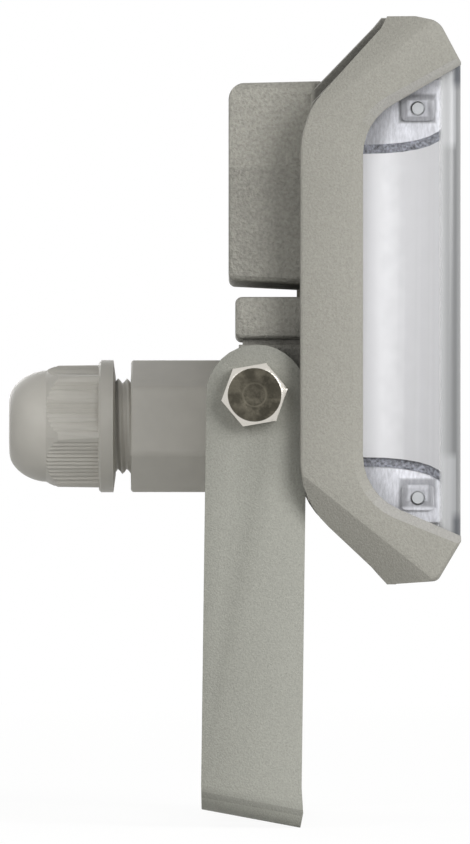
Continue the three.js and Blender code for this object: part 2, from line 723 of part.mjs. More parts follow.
// The rear housing: tub, driver box and wiring block in one casting, with the slot between them.
function housingShape() {
  const centre = frame.centreHeight;
  const topKink = frame.halfHeight - tub.topKinkDrop;
  const topBack = topKink - (flangeFrontX - tubBackX) * flareSlope;
  const below = [
    [tubBackX, -tubBackHalfHeight], [flangeFrontX, -kinkHalfHeight],
    [barBackX, -frame.halfHeight], [partingX, -frame.halfHeight], [partingX, frame.halfHeight],
  ];
  const outline = [
    ...below, [flangeFrontX + tub.topKinkLength, frame.halfHeight],
    [flangeFrontX, topKink], [tubBackX, topBack],
  ];
  const shoulders = [
    ...below, [flangeFrontX + tub.shoulderReach, topKink],
    [tubBackX, topBack - tub.shoulderReach * flareSlope],
  ];
  const middleHalf = tubHalfWidth - tub.shoulderWidth;
  const tubMiddle = alongY(roundedOutline(outline), -middleHalf, middleHalf, tub.edge);
  const tubEnds = alongY(roundedOutline(shoulders), -tubHalfWidth, tubHalfWidth, tub.edge);
  const rim = blockBetween(
    [landX, -headHalf, -landHalfHeight], [frontX, headHalf, landHalfHeight],
  );
  const driverBox = solid(drafted(alongX(boxEndOutline(), boxBackX, floorX, tub.edge)))
    .intersect(solid(alongY(boxSideOutline(), -headHalf, headHalf)));
  const lip = alongY(roundedOutline([
    [lipBackX, lipBottom, block.lipRadius], [floorX, lipBottom],
    [floorX, block.top], [lipBackX, block.top, block.lipRadius],
  ]), -blockHalfWidth, blockHalfWidth, tub.edge);
  const neckHalf = blockHalfWidth - block.grooveInset;
  const neck = blockBetween(
    [grooveBackX, -neckHalf, blockBottom + block.wall], [floorX, neckHalf, block.top - block.wall],
  );
  const lowerHalf = blockHalfWidth - block.lowerInset;
  const lowerTop = lipBottom - block.groove;
  const lower = alongY(roundedOutline([
    [blockFaceX, blockBottom, block.lowerRadius], [floorX, blockBottom],
    [floorX, lowerTop], [blockFaceX, lowerTop],
  ]), -lowerHalf, lowerHalf, tub.edge);
  const boss = solid(alongY(circle(washer.radius), -blockHalfWidth, bossLength - blockHalfWidth));

  const cavityBendX = floorX + (cavityHalfHeight - floorHalfHeight) / flareSlope;
  const cavity = alongY(roundedOutline(mirrored([
    [floorX, floorHalfHeight], [cavityBendX, cavityHalfHeight], [landX + overrun, cavityHalfHeight],
  ])), -cavityHalfWidth, cavityHalfWidth).translate(0, 0, centre);
  const driverRoom = blockBetween(
    [boxBackX + box.wall, -driverRoomHalfWidth, driverRoomFloor],
    [floorX + overrun, driverRoomHalfWidth, boxTop - box.roofWall],
  );
  const wiringRoom = blockBetween(
    [wiringBackX, -wiringHalfWidth, wiringFloor],
    [floorX + overrun, wiringHalfWidth, block.top - block.wall],
  );
  const glandHole = cylinderAlongX(
    gland.entryRadius + seat, lipBackX - overrun, wiringBackX + overrun,
  ).translate(0, 0, gland.axisHeight);
  const boltEndY = bolt.threadDepth + seat - blockHalfWidth;
  const boltHole = solid(alongY(circle(bolt.shankRadius + seat), -headHalf, boltEndY));
  const pockets = screwPlaces().flatMap(([y, z]) => [
    solid(cylinderAlongX(
      bezelScrew.headRadius + bezelScrew.pocketGap, boxBackX, screwSeatX, screwSteps,
    ).translate(0, y, centre + z)),
    solid(cylinderAlongX(
      bezelScrew.shankRadius + seat, screwSeatX - overrun, partingX + overrun, holeSteps,
    ).translate(0, y, centre + z)),
  ]);
  const carrierBores = carrierScrewPlaces().map(([y, z]) => solid(cylinderAlongX(
    carrierScrew.shankRadius + seat, carrierFrontX - carrierScrew.length - seat, floorX + overrun,
    holeSteps,
  ).translate(0, y, centre + z)));
  return cut(
    joined(
      solid(tubMiddle.translate(0, 0, centre)), solid(tubEnds.translate(0, 0, centre)),
      driverBox, solid(lip), solid(neck), solid(lower), boss, boss.mirror([0, 1, 0]),
    ),
    solid(rim.translate(0, 0, centre)), solid(cavity), solid(driverRoom), solid(wiringRoom),
    solid(glandHole), boltHole, boltHole.mirror([0, 1, 0]), ...pockets, ...carrierBores,
  );
}

// The lens: a clear box open to the back, with a flange above and below and rounded front edges.
function lensShape() {
  const shell = (halfY, halfZ, backX, faceX, radius) => extruded(roundedOutline([
    [backX, -halfY], [faceX, -halfY, radius], [faceX, halfY, radius], [backX, halfY],
  ]), 2 * halfZ).translate(0, 0, -halfZ);
  const outer = shell(lensHalfWidth, lensHalfHeight, lensBackX, frontX, lens.edgeRadius);
  const room = shell(
    lensHalfWidth - lens.wall, lensRoomHalfHeight, lensBackX - overrun, lensRoomX, lens.innerRadius,
  );
  const flange = blockBetween(
    [lensBackX, -lensHalfWidth, -flangeHalfHeight], [flangeFrontX, lensHalfWidth, flangeHalfHeight],
  );
  return cut(joined(solid(outer), solid(flange)), solid(room));
}

function rectangle(halfU, halfV, radius = 0) {
  return roundedOutline([
    [-halfU, -halfV, radius], [halfU, -halfV, radius], [halfU, halfV, radius], [-halfU, halfV, radius],
  ]);
}

function lensGasketShape() {
  const halfY = tubHalfWidth - seat;
  const inside = rectangle(halfY - lensGasket.land, cavityHalfHeight);
  return alongX(rectangle(halfY, flangeHalfHeight), landX, lensBackX, 0, [inside]);
}

function carrierScrewPlaces() {
  return fourPlaces(carrierHalfWidth - carrier.holeEndInset, carrierHalfHeight - carrier.holeInset);
}

function carrierShape() {
  const bore = carrierScrew.shankRadius + seat;
  const holes = carrierScrewPlaces().map(([y, z]) => circle(bore, y, z, holeSteps));
  const outline = rectangle(carrierHalfWidth, carrierHalfHeight, carrier.thickness);
  return alongX(outline, floorX, carrierFrontX, 0, holes);
}

function boardShape() {
  const holeY = board.halfWidth - board.holeInset;
  const holeZ = board.halfHeight - board.holeInset;
  const holes = [-1, 1].map((end) => circle(board.holeRadius, end * holeY, holeZ, holeSteps));
  const outline = rectangle(board.halfWidth, board.halfHeight, board.holeRadius);
  return alongX(outline, boardBackX, boardFrontX, 0, holes);
}

function emitterShape() {
  const half = emitter.size / 2;
  const baseTopX = boardFrontX + emitter.baseHeight;
  const base = alongX(rectangle(half, half, emitter.cornerRadius), boardFrontX, baseTopX);
  const disc = cylinderAlongX(emitter.discRadius, boardFrontX, baseTopX + emitter.discHeight);
  return joined(solid(base), solid(disc));
}

// The reflector: a bent sheet with a flat floor on the board and two parabolic wings.
function reflectorShape() {
  const mouth = endPlateHalfHeight - seat;
  const wing = (offset) => {
    const backX = boardFrontX + offset;
    const start = new THREE.Vector2(backX, reflector.floorHalfHeight);
    const bend = new THREE.Vector2(backX, mouth * reflector.bendShare - offset);
    const end = new THREE.Vector2(reflectorFrontX, mouth - offset);
    return new THREE.QuadraticBezierCurve(start, bend, end).getPoints(2 * arcSteps);
  };
  const outer = wing(0);
  const inner = wing(reflector.sheet);
  const lowerOuter = outer.map((point) => new THREE.Vector2(point.x, -point.y));
  const lowerInner = inner.map((point) => new THREE.Vector2(point.x, -point.y));
  const outline = [...lowerOuter.toReversed(), ...outer, ...inner.toReversed(), ...lowerInner];
  const halfY = endPlateInnerY - reflector.endGap;
  const halfHole = emitter.size / 2 + reflector.emitterGap;
  const hole = blockBetween(
    [boardFrontX - overrun, -halfHole, -halfHole], [boardFrontX + overrun, halfHole, halfHole],
  );
  return cut(solid(alongY(outline, -halfY, halfY)), solid(hole));
}

// One bright end plate, towards -Y, with a raised pad for a screw in each corner.
function endPlateShape() {
  const half = endPlateHalfHeight;
  const plate = alongY(roundedOutline([
    [carrierFrontX + endPlate.carrierGap, -reflector.floorHalfHeight],
    [panelBackX, -half], [endPlateFrontX, -half], [endPlateFrontX, half], [panelBackX, half],
    [carrierFrontX + endPlate.carrierGap, reflector.floorHalfHeight],
  ]), -endPlateOuterY, -endPlateInnerY);
  const pad = rectangle(endPlate.padLength / 2, endPlate.padWidth / 2, endPlate.padRadius);
  const pads = padPlaces().map(([x, z]) => solid(
    alongY(pad, -padOuterY, -endPlateInnerY).translate(x, 0, z),
  ));
  const bores = padPlaces().map(([x, z]) => solid(alongY(
    circle(endScrew.shankRadius + seat, x, z, holeSteps), -headHalf, overrun - endPlateInnerY,
  )));
  return cut(joined(solid(plate), ...pads), ...bores);
}

function padPlaces() {
  const x = endPlateFrontX - endPlate.padReach;
  const z = endPlateHalfHeight - endPlate.padInset;
  return [[x, z - endPlate.padSink], [x, -z - endPlate.padSink]];
}

function sidePanelShape() {
  const panelFrontX = endPlateFrontX - sidePanel.frontInset;
  const bendX = THREE.MathUtils.lerp(panelBackX, panelFrontX, sidePanel.bendShare);
  const curve = (upDown) => {
    const backZ = upDown * panelHalfHeight - sidePanel.sink;
    const frontZ = upDown * (panelHalfHeight + sidePanel.riseHeight) - sidePanel.sink;
    return new THREE.QuadraticBezierCurve(
      new THREE.Vector2(panelBackX, backZ), new THREE.Vector2(bendX, backZ),
      new THREE.Vector2(panelFrontX, frontZ),
    ).getPoints(arcSteps);
  };
  const outline = [...curve(-1), ...curve(1).toReversed()];
  const reach = panelHalfHeight + sidePanel.riseHeight + overrun;
  const crownY = -endPlateOuterY - sidePanel.thickness;
  const crown = new THREE.QuadraticBezierCurve(
    new THREE.Vector2(panelBackX - overrun, crownY), new THREE.Vector2(bendX, crownY),
    new THREE.Vector2(panelFrontX, -endPlateOuterY - sidePanel.frontThickness),
  ).getPoints(2 * arcSteps);
  const behind = [
    new THREE.Vector2(panelFrontX + overrun, -endPlateOuterY - sidePanel.frontThickness),
    new THREE.Vector2(panelFrontX + overrun, -endPlateOuterY),
    new THREE.Vector2(panelBackX - overrun, -endPlateOuterY),
  ];
  const crowned = extruded([...crown, ...behind], 2 * reach).translate(0, 0, -reach);
  return solid(alongY(outline, crownY - overrun, -endPlateOuterY)).intersect(solid(crowned));
}

// A screw along X with its head at the back and its seat at the given place.
function screwAlongX(screw, seatX) {
  const headX = seatX - screw.headHeight;
  const profile = [
    [headX, 0], [headX, screw.headRadius - screw.headEdge], [headX + screw.headEdge, screw.headRadius],
    [seatX, screw.headRadius], [seatX, screw.shankRadius],
    [seatX + screw.length, screw.shankRadius], [seatX + screw.length, 0],
  ];
  return turnedAboutX(profile, screwSteps);
}

function bezelScrewShape() {
  const headX = screwSeatX - bezelScrew.headHeight;
  const outline = hexagon(bezelScrew.socketFlats, 0);
  const socket = alongX(outline, headX - overrun, headX + bezelScrew.socketDepth);
  return cut(solid(screwAlongX(bezelScrew, screwSeatX)), solid(socket));
}

function carrierScrewShape() {
  return screwAlongX(carrierScrew, -carrierFrontX).rotateZ(Math.PI);
}

// A small round-headed screw towards -Y that holds an end plate at its pad.
function endScrewShape() {
  const topY = -padOuterY - endScrew.headHeight;
  const tipY = endScrew.length - padOuterY;
  const profile = [
    [0, topY], [endScrew.crownRadius, topY], [endScrew.headRadius, topY + endScrew.crownHeight],
    [endScrew.headRadius, -padOuterY], [endScrew.shankRadius, -padOuterY],
    [endScrew.shankRadius, tipY], [0, tipY],
  ];
  return new THREE.LatheGeometry(profile.map(([r, y]) => new THREE.Vector2(r, y)), screwSteps);
}

function driverShape() {
  const backX = boxBackX + box.wall + seat;
  const bottom = driverRoomFloor + seat;
  const halfLength = driverRoomHalfWidth - driver.endRoom;
  const outline = roundedOutline([
    [backX, bottom], [backX + driver.depth, bottom],
    [backX + driver.depth, bottom + driver.height], [backX, bottom + driver.height],
  ]);
  const body = alongY(outline, -halfLength, halfLength, driver.edge);
  const stubHalf = halfLength + driver.leadRadius;
  const lead = circle(
    driver.leadRadius, backX + driver.depth / 2, bottom + driver.height / 2, holeSteps,
  );
  return joined(solid(body), solid(alongY(lead, -stubHalf, stubHalf)));
}

function terminalShape() {
  const backX = entryEndX + seat;
  const faceX = backX + terminal.depth;
  const bottom = wiringFloor + seat;
  const farY = wiringHalfWidth - terminal.endGap;
  const body = blockBetween(
    [backX, farY - terminal.length, bottom], [faceX, farY, bottom + terminal.height],
  );
  const tools = [];
  for (let way = 1; way <= terminal.wayCount; way += 1) {
    const y = farY - terminal.length * ((way - halfShare) / terminal.wayCount);
    tools.push(solid(cylinderAlongX(
      terminal.wireRadius, (backX + faceX) / 2, faceX + overrun, holeSteps,
    ).translate(0, y, bottom + terminal.wireHeight)));
  }
  return cut(solid(body), ...tools);
}

// A threaded stub along X: its radius follows a single-start helix, so crests climb one pitch a turn.
function threadedStub(lowX, highX) {
  const turns = (highX - lowX) / gland.pitch;
  const rows = Math.round(turns * threadStepsPerPitch);
  const positions = [];
  const swing = gland.threadDepth / 2;
  const middle = gland.threadCrest - swing;
  for (let row = 0; row <= rows; row += 1) {
    const x = lowX + ((highX - lowX) * row) / rows;
    for (let step = 0; step < threadStepsAround; step += 1) {
      const angle = (2 * Math.PI * step) / threadStepsAround;
      const phase = (2 * Math.PI * (x - lowX + gland.crestOffset)) / gland.pitch - angle;
      const radius = middle + swing * Math.cos(phase);
      positions.push(x, radius * Math.cos(angle), radius * Math.sin(angle));
    }
  }
  const firstCentre = positions.length / 3;
  positions.push(lowX, 0, 0, highX, 0, 0);
  const index = [];
  for (let step = 0; step < threadStepsAround; step += 1) {
    const next = (step + 1) % threadStepsAround;
    for (let row = 0; row < rows; row += 1) {
      const a = row * threadStepsAround + step;
      const b = row * threadStepsAround + next;
      const c = a + threadStepsAround;
      const d = b + threadStepsAround;
      index.push(a, b, c, b, d, c);
    }
    const last = rows * threadStepsAround;
    index.push(firstCentre, next, step, firstCentre + 1, last + step, last + next);
  }
  const geometry = new THREE.BufferGeometry();
  geometry.setAttribute('position', new THREE.Float32BufferAttribute(positions, 3));
  geometry.setIndex(index);
  return geometry;
}

function glandBodyShape() {
  const outline = hexagon(gland.hexAcrossFlats, gland.hexTurnDegrees, gland.hexCornerRadius);
  const hex = alongX(outline, glandHexFrontX, glandHexBackX, gland.hexEdge);
  const thread = threadedStub(threadEndX, glandHexFrontX + gland.pitch);
  const entry = cylinderAlongX(gland.entryRadius, glandHexBackX - gland.pitch, entryEndX);
  const bore = cylinderAlongX(gland.bore, threadEndX - overrun, entryEndX + overrun);
  const sealRoom = cylinderAlongX(sealSeatRadius, threadEndX - overrun, sealSeatX);
  return cut(joined(solid(hex), solid(thread), solid(entry)), solid(bore), solid(sealRoom));
}

// The cap nut's ribbed hexagon: each face has a row of fine grooves between plain margins.
function ribbedHexagon() {
  const middle = new THREE.Vector2();
  const corner = (index) => new THREE.Vector2(nut.hexAcrossCorners / 2, 0)
    .rotateAround(middle, degrees(nut.hexTurnDegrees + 60 * index));
  const points = [];
  for (let face = 0; face < 6; face += 1) {
    const start = corner(face);
    const end = corner(face + 1);
    const inwards = start.clone().add(end).normalize().negate();
    points.push(start);
    for (let step = 0; step <= 2 * nut.ribCount; step += 1) {
      const share = THREE.MathUtils.lerp(
        nut.ribMarginShare, 1 - nut.ribMarginShare, step / (2 * nut.ribCount),
      );
      points.push(start.clone().lerp(end, share).addScaledVector(inwards, (step % 2) * nut.ribDepth));
    }
  }
  return points;
}

function glandNutShape() {
  const dome = [[nutFaceX, 0]];
  for (let step = 0; step <= domeSteps; step += 1) {
    const angle = (Math.PI / 2) * (step / domeSteps);
    const depthShare = 1 - Math.cos(angle) ** (2 / nut.domePower);
    const reachShare = Math.sin(angle) ** (2 / nut.domePower);
    dome.push([
      nutFaceX + nut.domeLength * depthShare,
      nut.faceRadius + (nut.domeRadius - nut.faceRadius) * reachShare,
    ]);
  }
  dome.push([domeEndX + nut.ribDepth, nut.domeRadius], [domeEndX + nut.ribDepth, 0]);
  const hexEndX = nutFlangeX + nut.ribDepth;
  const hexRadius = nut.hexAcrossCorners / 2;
  const hexLathe = turnedAboutX([
    [domeEndX, 0], [domeEndX, nut.domeRadius], [nutHexX, hexRadius - nut.ribDepth],
    [hexEndX, hexRadius], [hexEndX, 0],
  ]);
  const flange = turnedAboutX([
    [nutFlangeX, 0], [nutFlangeX, nut.flangeRadius - nut.flangeEdge],
    [nutFlangeX + nut.flangeEdge, nut.flangeRadius], [nutBackX, nut.flangeRadius],
    [nutConeX, nutBoreRadius], [nutConeX, 0],
  ]);
  const room = turnedAboutX([
    [nutFaceX - overrun, 0], [nutFaceX - overrun, nut.throat], [nutFaceX + nut.faceWall, nut.throat],
    [sealFrontX, sealRoomRadius], [nutBoreEndX, sealRoomRadius],
    [nutBoreEndX, nutBoreRadius], [nutConeX + overrun, nutBoreRadius], [nutConeX + overrun, 0],
  ]);
  const ribbed = solid(alongX(ribbedHexagon(), domeEndX, hexEndX)).intersect(solid(hexLathe));
  return cut(joined(solid(turnedAboutX(dome)), ribbed, solid(flange)), solid(room));
}

function sealShape() {
  return turnedAboutX([
    [sealFrontX, seal.bore], [sealFrontX, seal.tipRadius],
    [sealFrontX + seal.taperLength, seal.radius], [sealBackX, seal.radius],
    [sealBackX, seal.bore], [sealFrontX, seal.bore],
  ]);
}

function locknutShape() {
  const hole = circle(gland.entryRadius + seat);
  const frontFaceX = wiringBackX + locknut.thickness;
  return alongX(hexagon(locknut.acrossFlats, 0), wiringBackX, frontFaceX, 0, [hole]);
}

// Names and places: the head's pieces sit on its centre line, the gland's on the gland's axis.
function buildBracket() {
  const group = new THREE.Group();
  group.rotation.y = degrees(bracket.leanDegrees);
  group.add(part('bracket', bracketShape(), bracketPaint));
  return group;
}

function buildHead() {
  const group = new THREE.Group();
  const z = frame.centreHeight;
  group.add(part('rear_housing', housingShape(), castPaint));
  group.add(part('front_bezel', bezelShape(), castPaint, 0, 0, z));
  group.add(part('lens', lensShape(), clearPlastic, 0, 0, z));
  group.add(part('lens_gasket', lensGasketShape(), blackRubber, 0, 0, z));
  group.add(part('led_carrier', carrierShape(), rawAluminium, 0, 0, z));
  const half = thermalPad.size / 2;
  const padSheet = alongX(rectangle(half, half), carrierFrontX, boardBackX);
  group.add(part('thermal_pad', padSheet, softGray, 0, 0, z));
  group.add(part('led_board', boardShape(), boardWhite, 0, 0, z));
  group.add(part('led_emitter', emitterShape(), phosphor, 0, 0, z));
  group.add(part('reflector', reflectorShape(), brightMetal, 0, 0, z));
  group.add(part('driver_unit', driverShape(), driverBlack));
  group.add(part('terminal_block', terminalShape(), terminalGray));
  for (const [side, turn] of [['near', 1], ['far', -1]]) {
    const sided = (shape) => (turn > 0 ? shape : shape.mirror([0, 1, 0]));
    group.add(part(`pivot_bolt_${side}`, sided(boltShape()), stainless));
    group.add(part(`friction_washer_${side}`, sided(solid(washerShape())), zincSteel));
    group.add(part(`reflector_end_${side}`, sided(endPlateShape()), brightMetal, 0, 0, z));
    group.add(part(`side_panel_${side}`, sided(sidePanelShape()), whiteSatin, 0, 0, z));
    padPlaces().forEach(([x, height], index) => {
      const name = `end_screw_${side}_${index + 1}`;
      group.add(part(name, sided(solid(endScrewShape())), zincSteel, x, 0, z + height));
    });
  }
  screwPlaces().forEach(([y, height], index) => {
    group.add(part(`bezel_screw_${index + 1}`, bezelScrewShape(), stainless, 0, y, z + height));
  });
  carrierScrewPlaces().forEach(([y, height], index) => {
    group.add(part(`carrier_screw_${index + 1}`, carrierScrewShape(), zincSteel, 0, y, z + height));
  });
  return group;
}

function buildGland() {
  const group = new THREE.Group();
  group.position.z = gland.axisHeight;
  group.add(part('gland_body', glandBodyShape(), grayNylon));
  group.add(part('gland_nut', glandNutShape(), grayNylon));
  group.add(part('gland_seal', sealShape(), blackRubber));
  const gasket = ringAlongX(
    gland.entryRadius + seat, glandGasket.radius, glandHexBackX, blockFaceX,
  );
  group.add(part('gland_gasket', gasket, blackRubber));
  group.add(part('gland_locknut', locknutShape(), grayNylon));
  return group;
}

const light = new THREE.Group();
const footCentre = new THREE.Vector3(bracket.pivotOffset, 0, -bracket.pivotHeight)
  .applyAxisAngle(new THREE.Vector3(0, 1, 0), degrees(bracket.leanDegrees));
light.position.copy(footCentre.negate());
light.add(buildBracket(), buildHead(), buildGland());

export default light;
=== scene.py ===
"""LED flood light with a U bracket and a cable gland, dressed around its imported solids."""

import json
import math
from functools import partial

import bmesh
import bpy
from bpy.props import FloatProperty, FloatVectorProperty, PointerProperty
from bpy.types import Operator, Panel, PropertyGroup
from mathutils import Matrix, Vector

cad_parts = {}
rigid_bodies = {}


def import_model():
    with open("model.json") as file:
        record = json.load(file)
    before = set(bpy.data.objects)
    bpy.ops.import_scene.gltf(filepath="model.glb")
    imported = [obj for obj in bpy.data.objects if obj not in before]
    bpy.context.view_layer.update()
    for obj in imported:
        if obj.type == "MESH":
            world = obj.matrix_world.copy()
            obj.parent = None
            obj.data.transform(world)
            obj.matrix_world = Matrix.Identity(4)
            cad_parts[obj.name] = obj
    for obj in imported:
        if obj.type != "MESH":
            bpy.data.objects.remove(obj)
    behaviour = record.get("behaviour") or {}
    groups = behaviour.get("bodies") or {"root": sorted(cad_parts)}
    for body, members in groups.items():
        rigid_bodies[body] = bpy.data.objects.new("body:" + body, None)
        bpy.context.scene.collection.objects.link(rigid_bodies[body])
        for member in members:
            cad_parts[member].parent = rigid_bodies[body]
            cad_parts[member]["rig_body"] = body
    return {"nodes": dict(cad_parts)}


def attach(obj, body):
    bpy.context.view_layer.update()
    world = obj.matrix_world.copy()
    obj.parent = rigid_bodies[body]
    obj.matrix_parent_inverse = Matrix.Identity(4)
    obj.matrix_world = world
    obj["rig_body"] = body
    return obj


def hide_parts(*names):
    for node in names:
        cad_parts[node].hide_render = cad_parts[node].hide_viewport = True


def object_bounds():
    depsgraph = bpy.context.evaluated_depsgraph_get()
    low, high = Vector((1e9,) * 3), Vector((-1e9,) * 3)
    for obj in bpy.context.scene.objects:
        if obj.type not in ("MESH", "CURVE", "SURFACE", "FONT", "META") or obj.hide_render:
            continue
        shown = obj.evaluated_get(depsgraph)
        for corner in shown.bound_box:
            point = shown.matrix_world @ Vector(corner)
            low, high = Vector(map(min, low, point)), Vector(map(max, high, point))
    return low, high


bl_info = {
    "name": "Flood Light",
    "version": (1, 0),
    "blender": (4, 5, 0),
    "location": "3D View > Sidebar > Flood Light",
    "description": "Rounds, finishes and lights the solids of a bracket-mounted flood light",
    "category": "Add Mesh",
}

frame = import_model()
solid_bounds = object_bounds()

MM = 0.001
MERGE = 0.00001  # metres between two corners of a solid that are one
NOISE_SPAN = (0.3, 0.7)  # limits that a noise pattern seldom passes
SIDES = ("near", "far")

# Parts of a face's normal by which a coat tells the castings' faces apart. Each is a pair of
# limits, and the coat changes over between them.
WALL_FACING = (0.9, 0.92)  # along Y, on an upright side wall
BAND_FACING = (0.76, 0.8)  # along Y, on the sloping band round a window
FRONT_FACING = (0.3, 0.45)  # along X, on what slopes to the front and isn't the band
LEANING_DOWN = (-0.1, -0.3)  # along Z, on a side face that leans down and is painted darker

# Places on the castings, in the frame's own metres.
BOX_CREASE_Z = (144.5 * MM, 146 * MM)  # the crease across the driver box's side
COVERED_X = 13.5 * MM  # past this the housing's side lies under the bezel's cheek, painted dark as its shade
EAR_Z = (70 * MM, 98 * MM)  # from below the bracket's ear to its bolt

# Studio: name, place, size in metres and watts of each light, and where they all point.
LIGHTS = (
    ("key", (1.35, -1.86, 0.84), 1.3, 42),
    ("fill", (-0.95, -2.04, 0.91), 1.2, 13),
    ("back", (-0.7, 2.1, 0.6), 1.4, 17),
)
LIGHT_TARGET = (0.0, 0.0, 0.09)
SOFT_LIGHT = 0.26  # strength of the surround where it only lights
WHITE_LIGHT = 1.0  # strength of the surround where it is seen
FLOOR_RADIUS = 1.2
FLOOR_SHARE = 0.85  # how much of the seen floor is glow and not paint
FLOOR_GLOW = 1.1

# Camera: it looks along Y, level with the middle of the lamp.
EYE = Vector((-0.00355, -3.0, 0.08845))
SENSOR = 36.0
PICTURE_HEIGHT = 844  # pixels
PIXELS_PER_MM = 4.38  # at the lamp's middle plane


def linear(code):
    """The linear colour of an sRGB hex code."""
    parts = [int(code[i : i + 2], 16) / 255 for i in (0, 2, 4)]
    return [p / 12.92 if p <= 0.04045 else ((p + 0.055) / 1.055) ** 2.4 for p in parts]


def tone(code):
    """A colour property's default or a socket's value, with full alpha."""
    return (*linear(code), 1.0)


def scaled(rgba, factor):
    """A paler or darker colour."""
    return (*[min(1.0, c * factor) for c in rgba[:3]], 1.0)


def colour(name, code, description):
    """A colour of the add-on, from its hex code."""
    return FloatVectorProperty(
        name=name, description=description, subtype="COLOR", size=4, min=0.0, max=1.0,
        default=tone(code),
    )


def length(name, millimetres, description):
    """A size of the add-on, from its millimetres."""
    return FloatProperty(
        name=name, description=description, unit="LENGTH", subtype="DISTANCE", min=0.0,
        default=millimetres * MM,
    )


class FloodLightSizes(PropertyGroup):
    casting_edge: length("Casting edge", 0.55, "Radius of the edges of the bezel")
    casting_crease: length("Casting crease", 2.0, "Radius of the cheeks' shallow creases")
    housing_edge: length("Housing edge", 0.3, "Radius of the edges of the rear housing")
    bracket_edge: length("Bracket edge", 0.3, "Radius of the tumbled bracket's cut edges")
    gland_edge: length("Gland edge", 0.5, "Radius of the long corners of the gland's hexagon")
    lens_edge: length("Lens edge", 0.4, "Radius of the moulded edges of the lens")
    sheet_edge: length("Sheet edge", 0.18, "Radius of the edges of the panels inside the lens")
    casting_grain: length("Casting grain", 0.42, "Distance between the grains of the coat")
    box_grain: length("Housing grain", 0.75, "Distance between the rear housing's coarser grains")
    bracket_grain: length("Bracket grain", 0.4, "Distance between the grains of its coat")
    # The recess is how far from a wall the housing's painted shade reaches.
    recess: length("Recess", 16, "How near a wall the housing's coat gets darker")
    # The disc is where a bolt's dark reflection is painted; the ring is a painted highlight.
    reflection_disc_radius: length("Forged disc", 6.05, "Radius of the dark face inside a bolt's chamfer")
    highlight_ring_radius: length("Punch ring", 2.6, "Radius of the punch's ring on a bolt's face")
    # The panel rim is a dark sheet of painted shade round each side panel.
    shade_rim_width: length("Panel rim", 2.3, "Height of the rim above and below a side panel")


class FloodLightColours(PropertyGroup):
    casting: colour("Casting", "A4A299", "Powder coat of the bezel and the housing")
    # Painted highlight: the window band's colour is painted on the sloping band round the side
    # windows.
    band: colour("Window band", "B0AEA9", "Paler coat on the sloping band round the side windows")
    bracket: colour("Bracket", "A4A49B", "Powder coat of the bracket")
    nylon: colour("Nylon", "C4C1B9", "Moulded nylon of the cable gland")
    stainless: colour("Stainless steel", "CECAC2", "Pivot bolts and bezel screws")
    # Painted reflection: the forged face colour is a dark reflection painted inside the bolts'
    # chamfers.
    forged: colour("Forged face", "434038", "Dark scale on the forged faces of the pivot bolts")
    panel: colour("Side panel", "F1F1F4", "Satin panels behind the lens's sides")
    bright: colour("Bright metal", "E8E9F0", "Metallised reflector and its end plates")
    # Painted shade: the panel rim's colour is the dark sheet round each side panel.
    rim: colour("Panel rim", "74767E", "Burnished rim round the side panels")
    floor: colour("Floor", "CFCFCD", "Studio floor")


def add_node(tree, kind, inputs=(), **settings):
    """Adds a node with its settings. Its inputs are listed in their order, or given by name or
    number. Each is a value, a socket to link, or a node whose first socket in use is linked."""
    node = tree.nodes.new(f"ShaderNode{kind}")
    for name, value in settings.items():
        setattr(node, name, value)
    given = inputs if isinstance(inputs, dict) else dict(enumerate(inputs))
    for key, value in given.items():
        if isinstance(value, bpy.types.Node):
            value = next(socket for socket in value.outputs if socket.enabled)
        if isinstance(value, bpy.types.NodeSocket):
            tree.links.new(value, node.inputs[key])
        else:
            node.inputs[key].default_value = value
    return node


def new_material(name):
    """An empty node material, and what adds a node to it."""
    material = bpy.data.materials.new(name)
    material.use_nodes = True
    material.node_tree.nodes.clear()
    return material, partial(add_node, material.node_tree)


def stops(ramp_node, *points):
    """Sets a colour ramp to the given positions and grey levels."""
    ramp = ramp_node.color_ramp
    while len(ramp.elements) < len(points):
        ramp.elements.new(1.0)
    for element, (position, level) in zip(ramp.elements, points):
        element.position = position
        element.color = (level, level, level, 1.0)
    return ramp_node


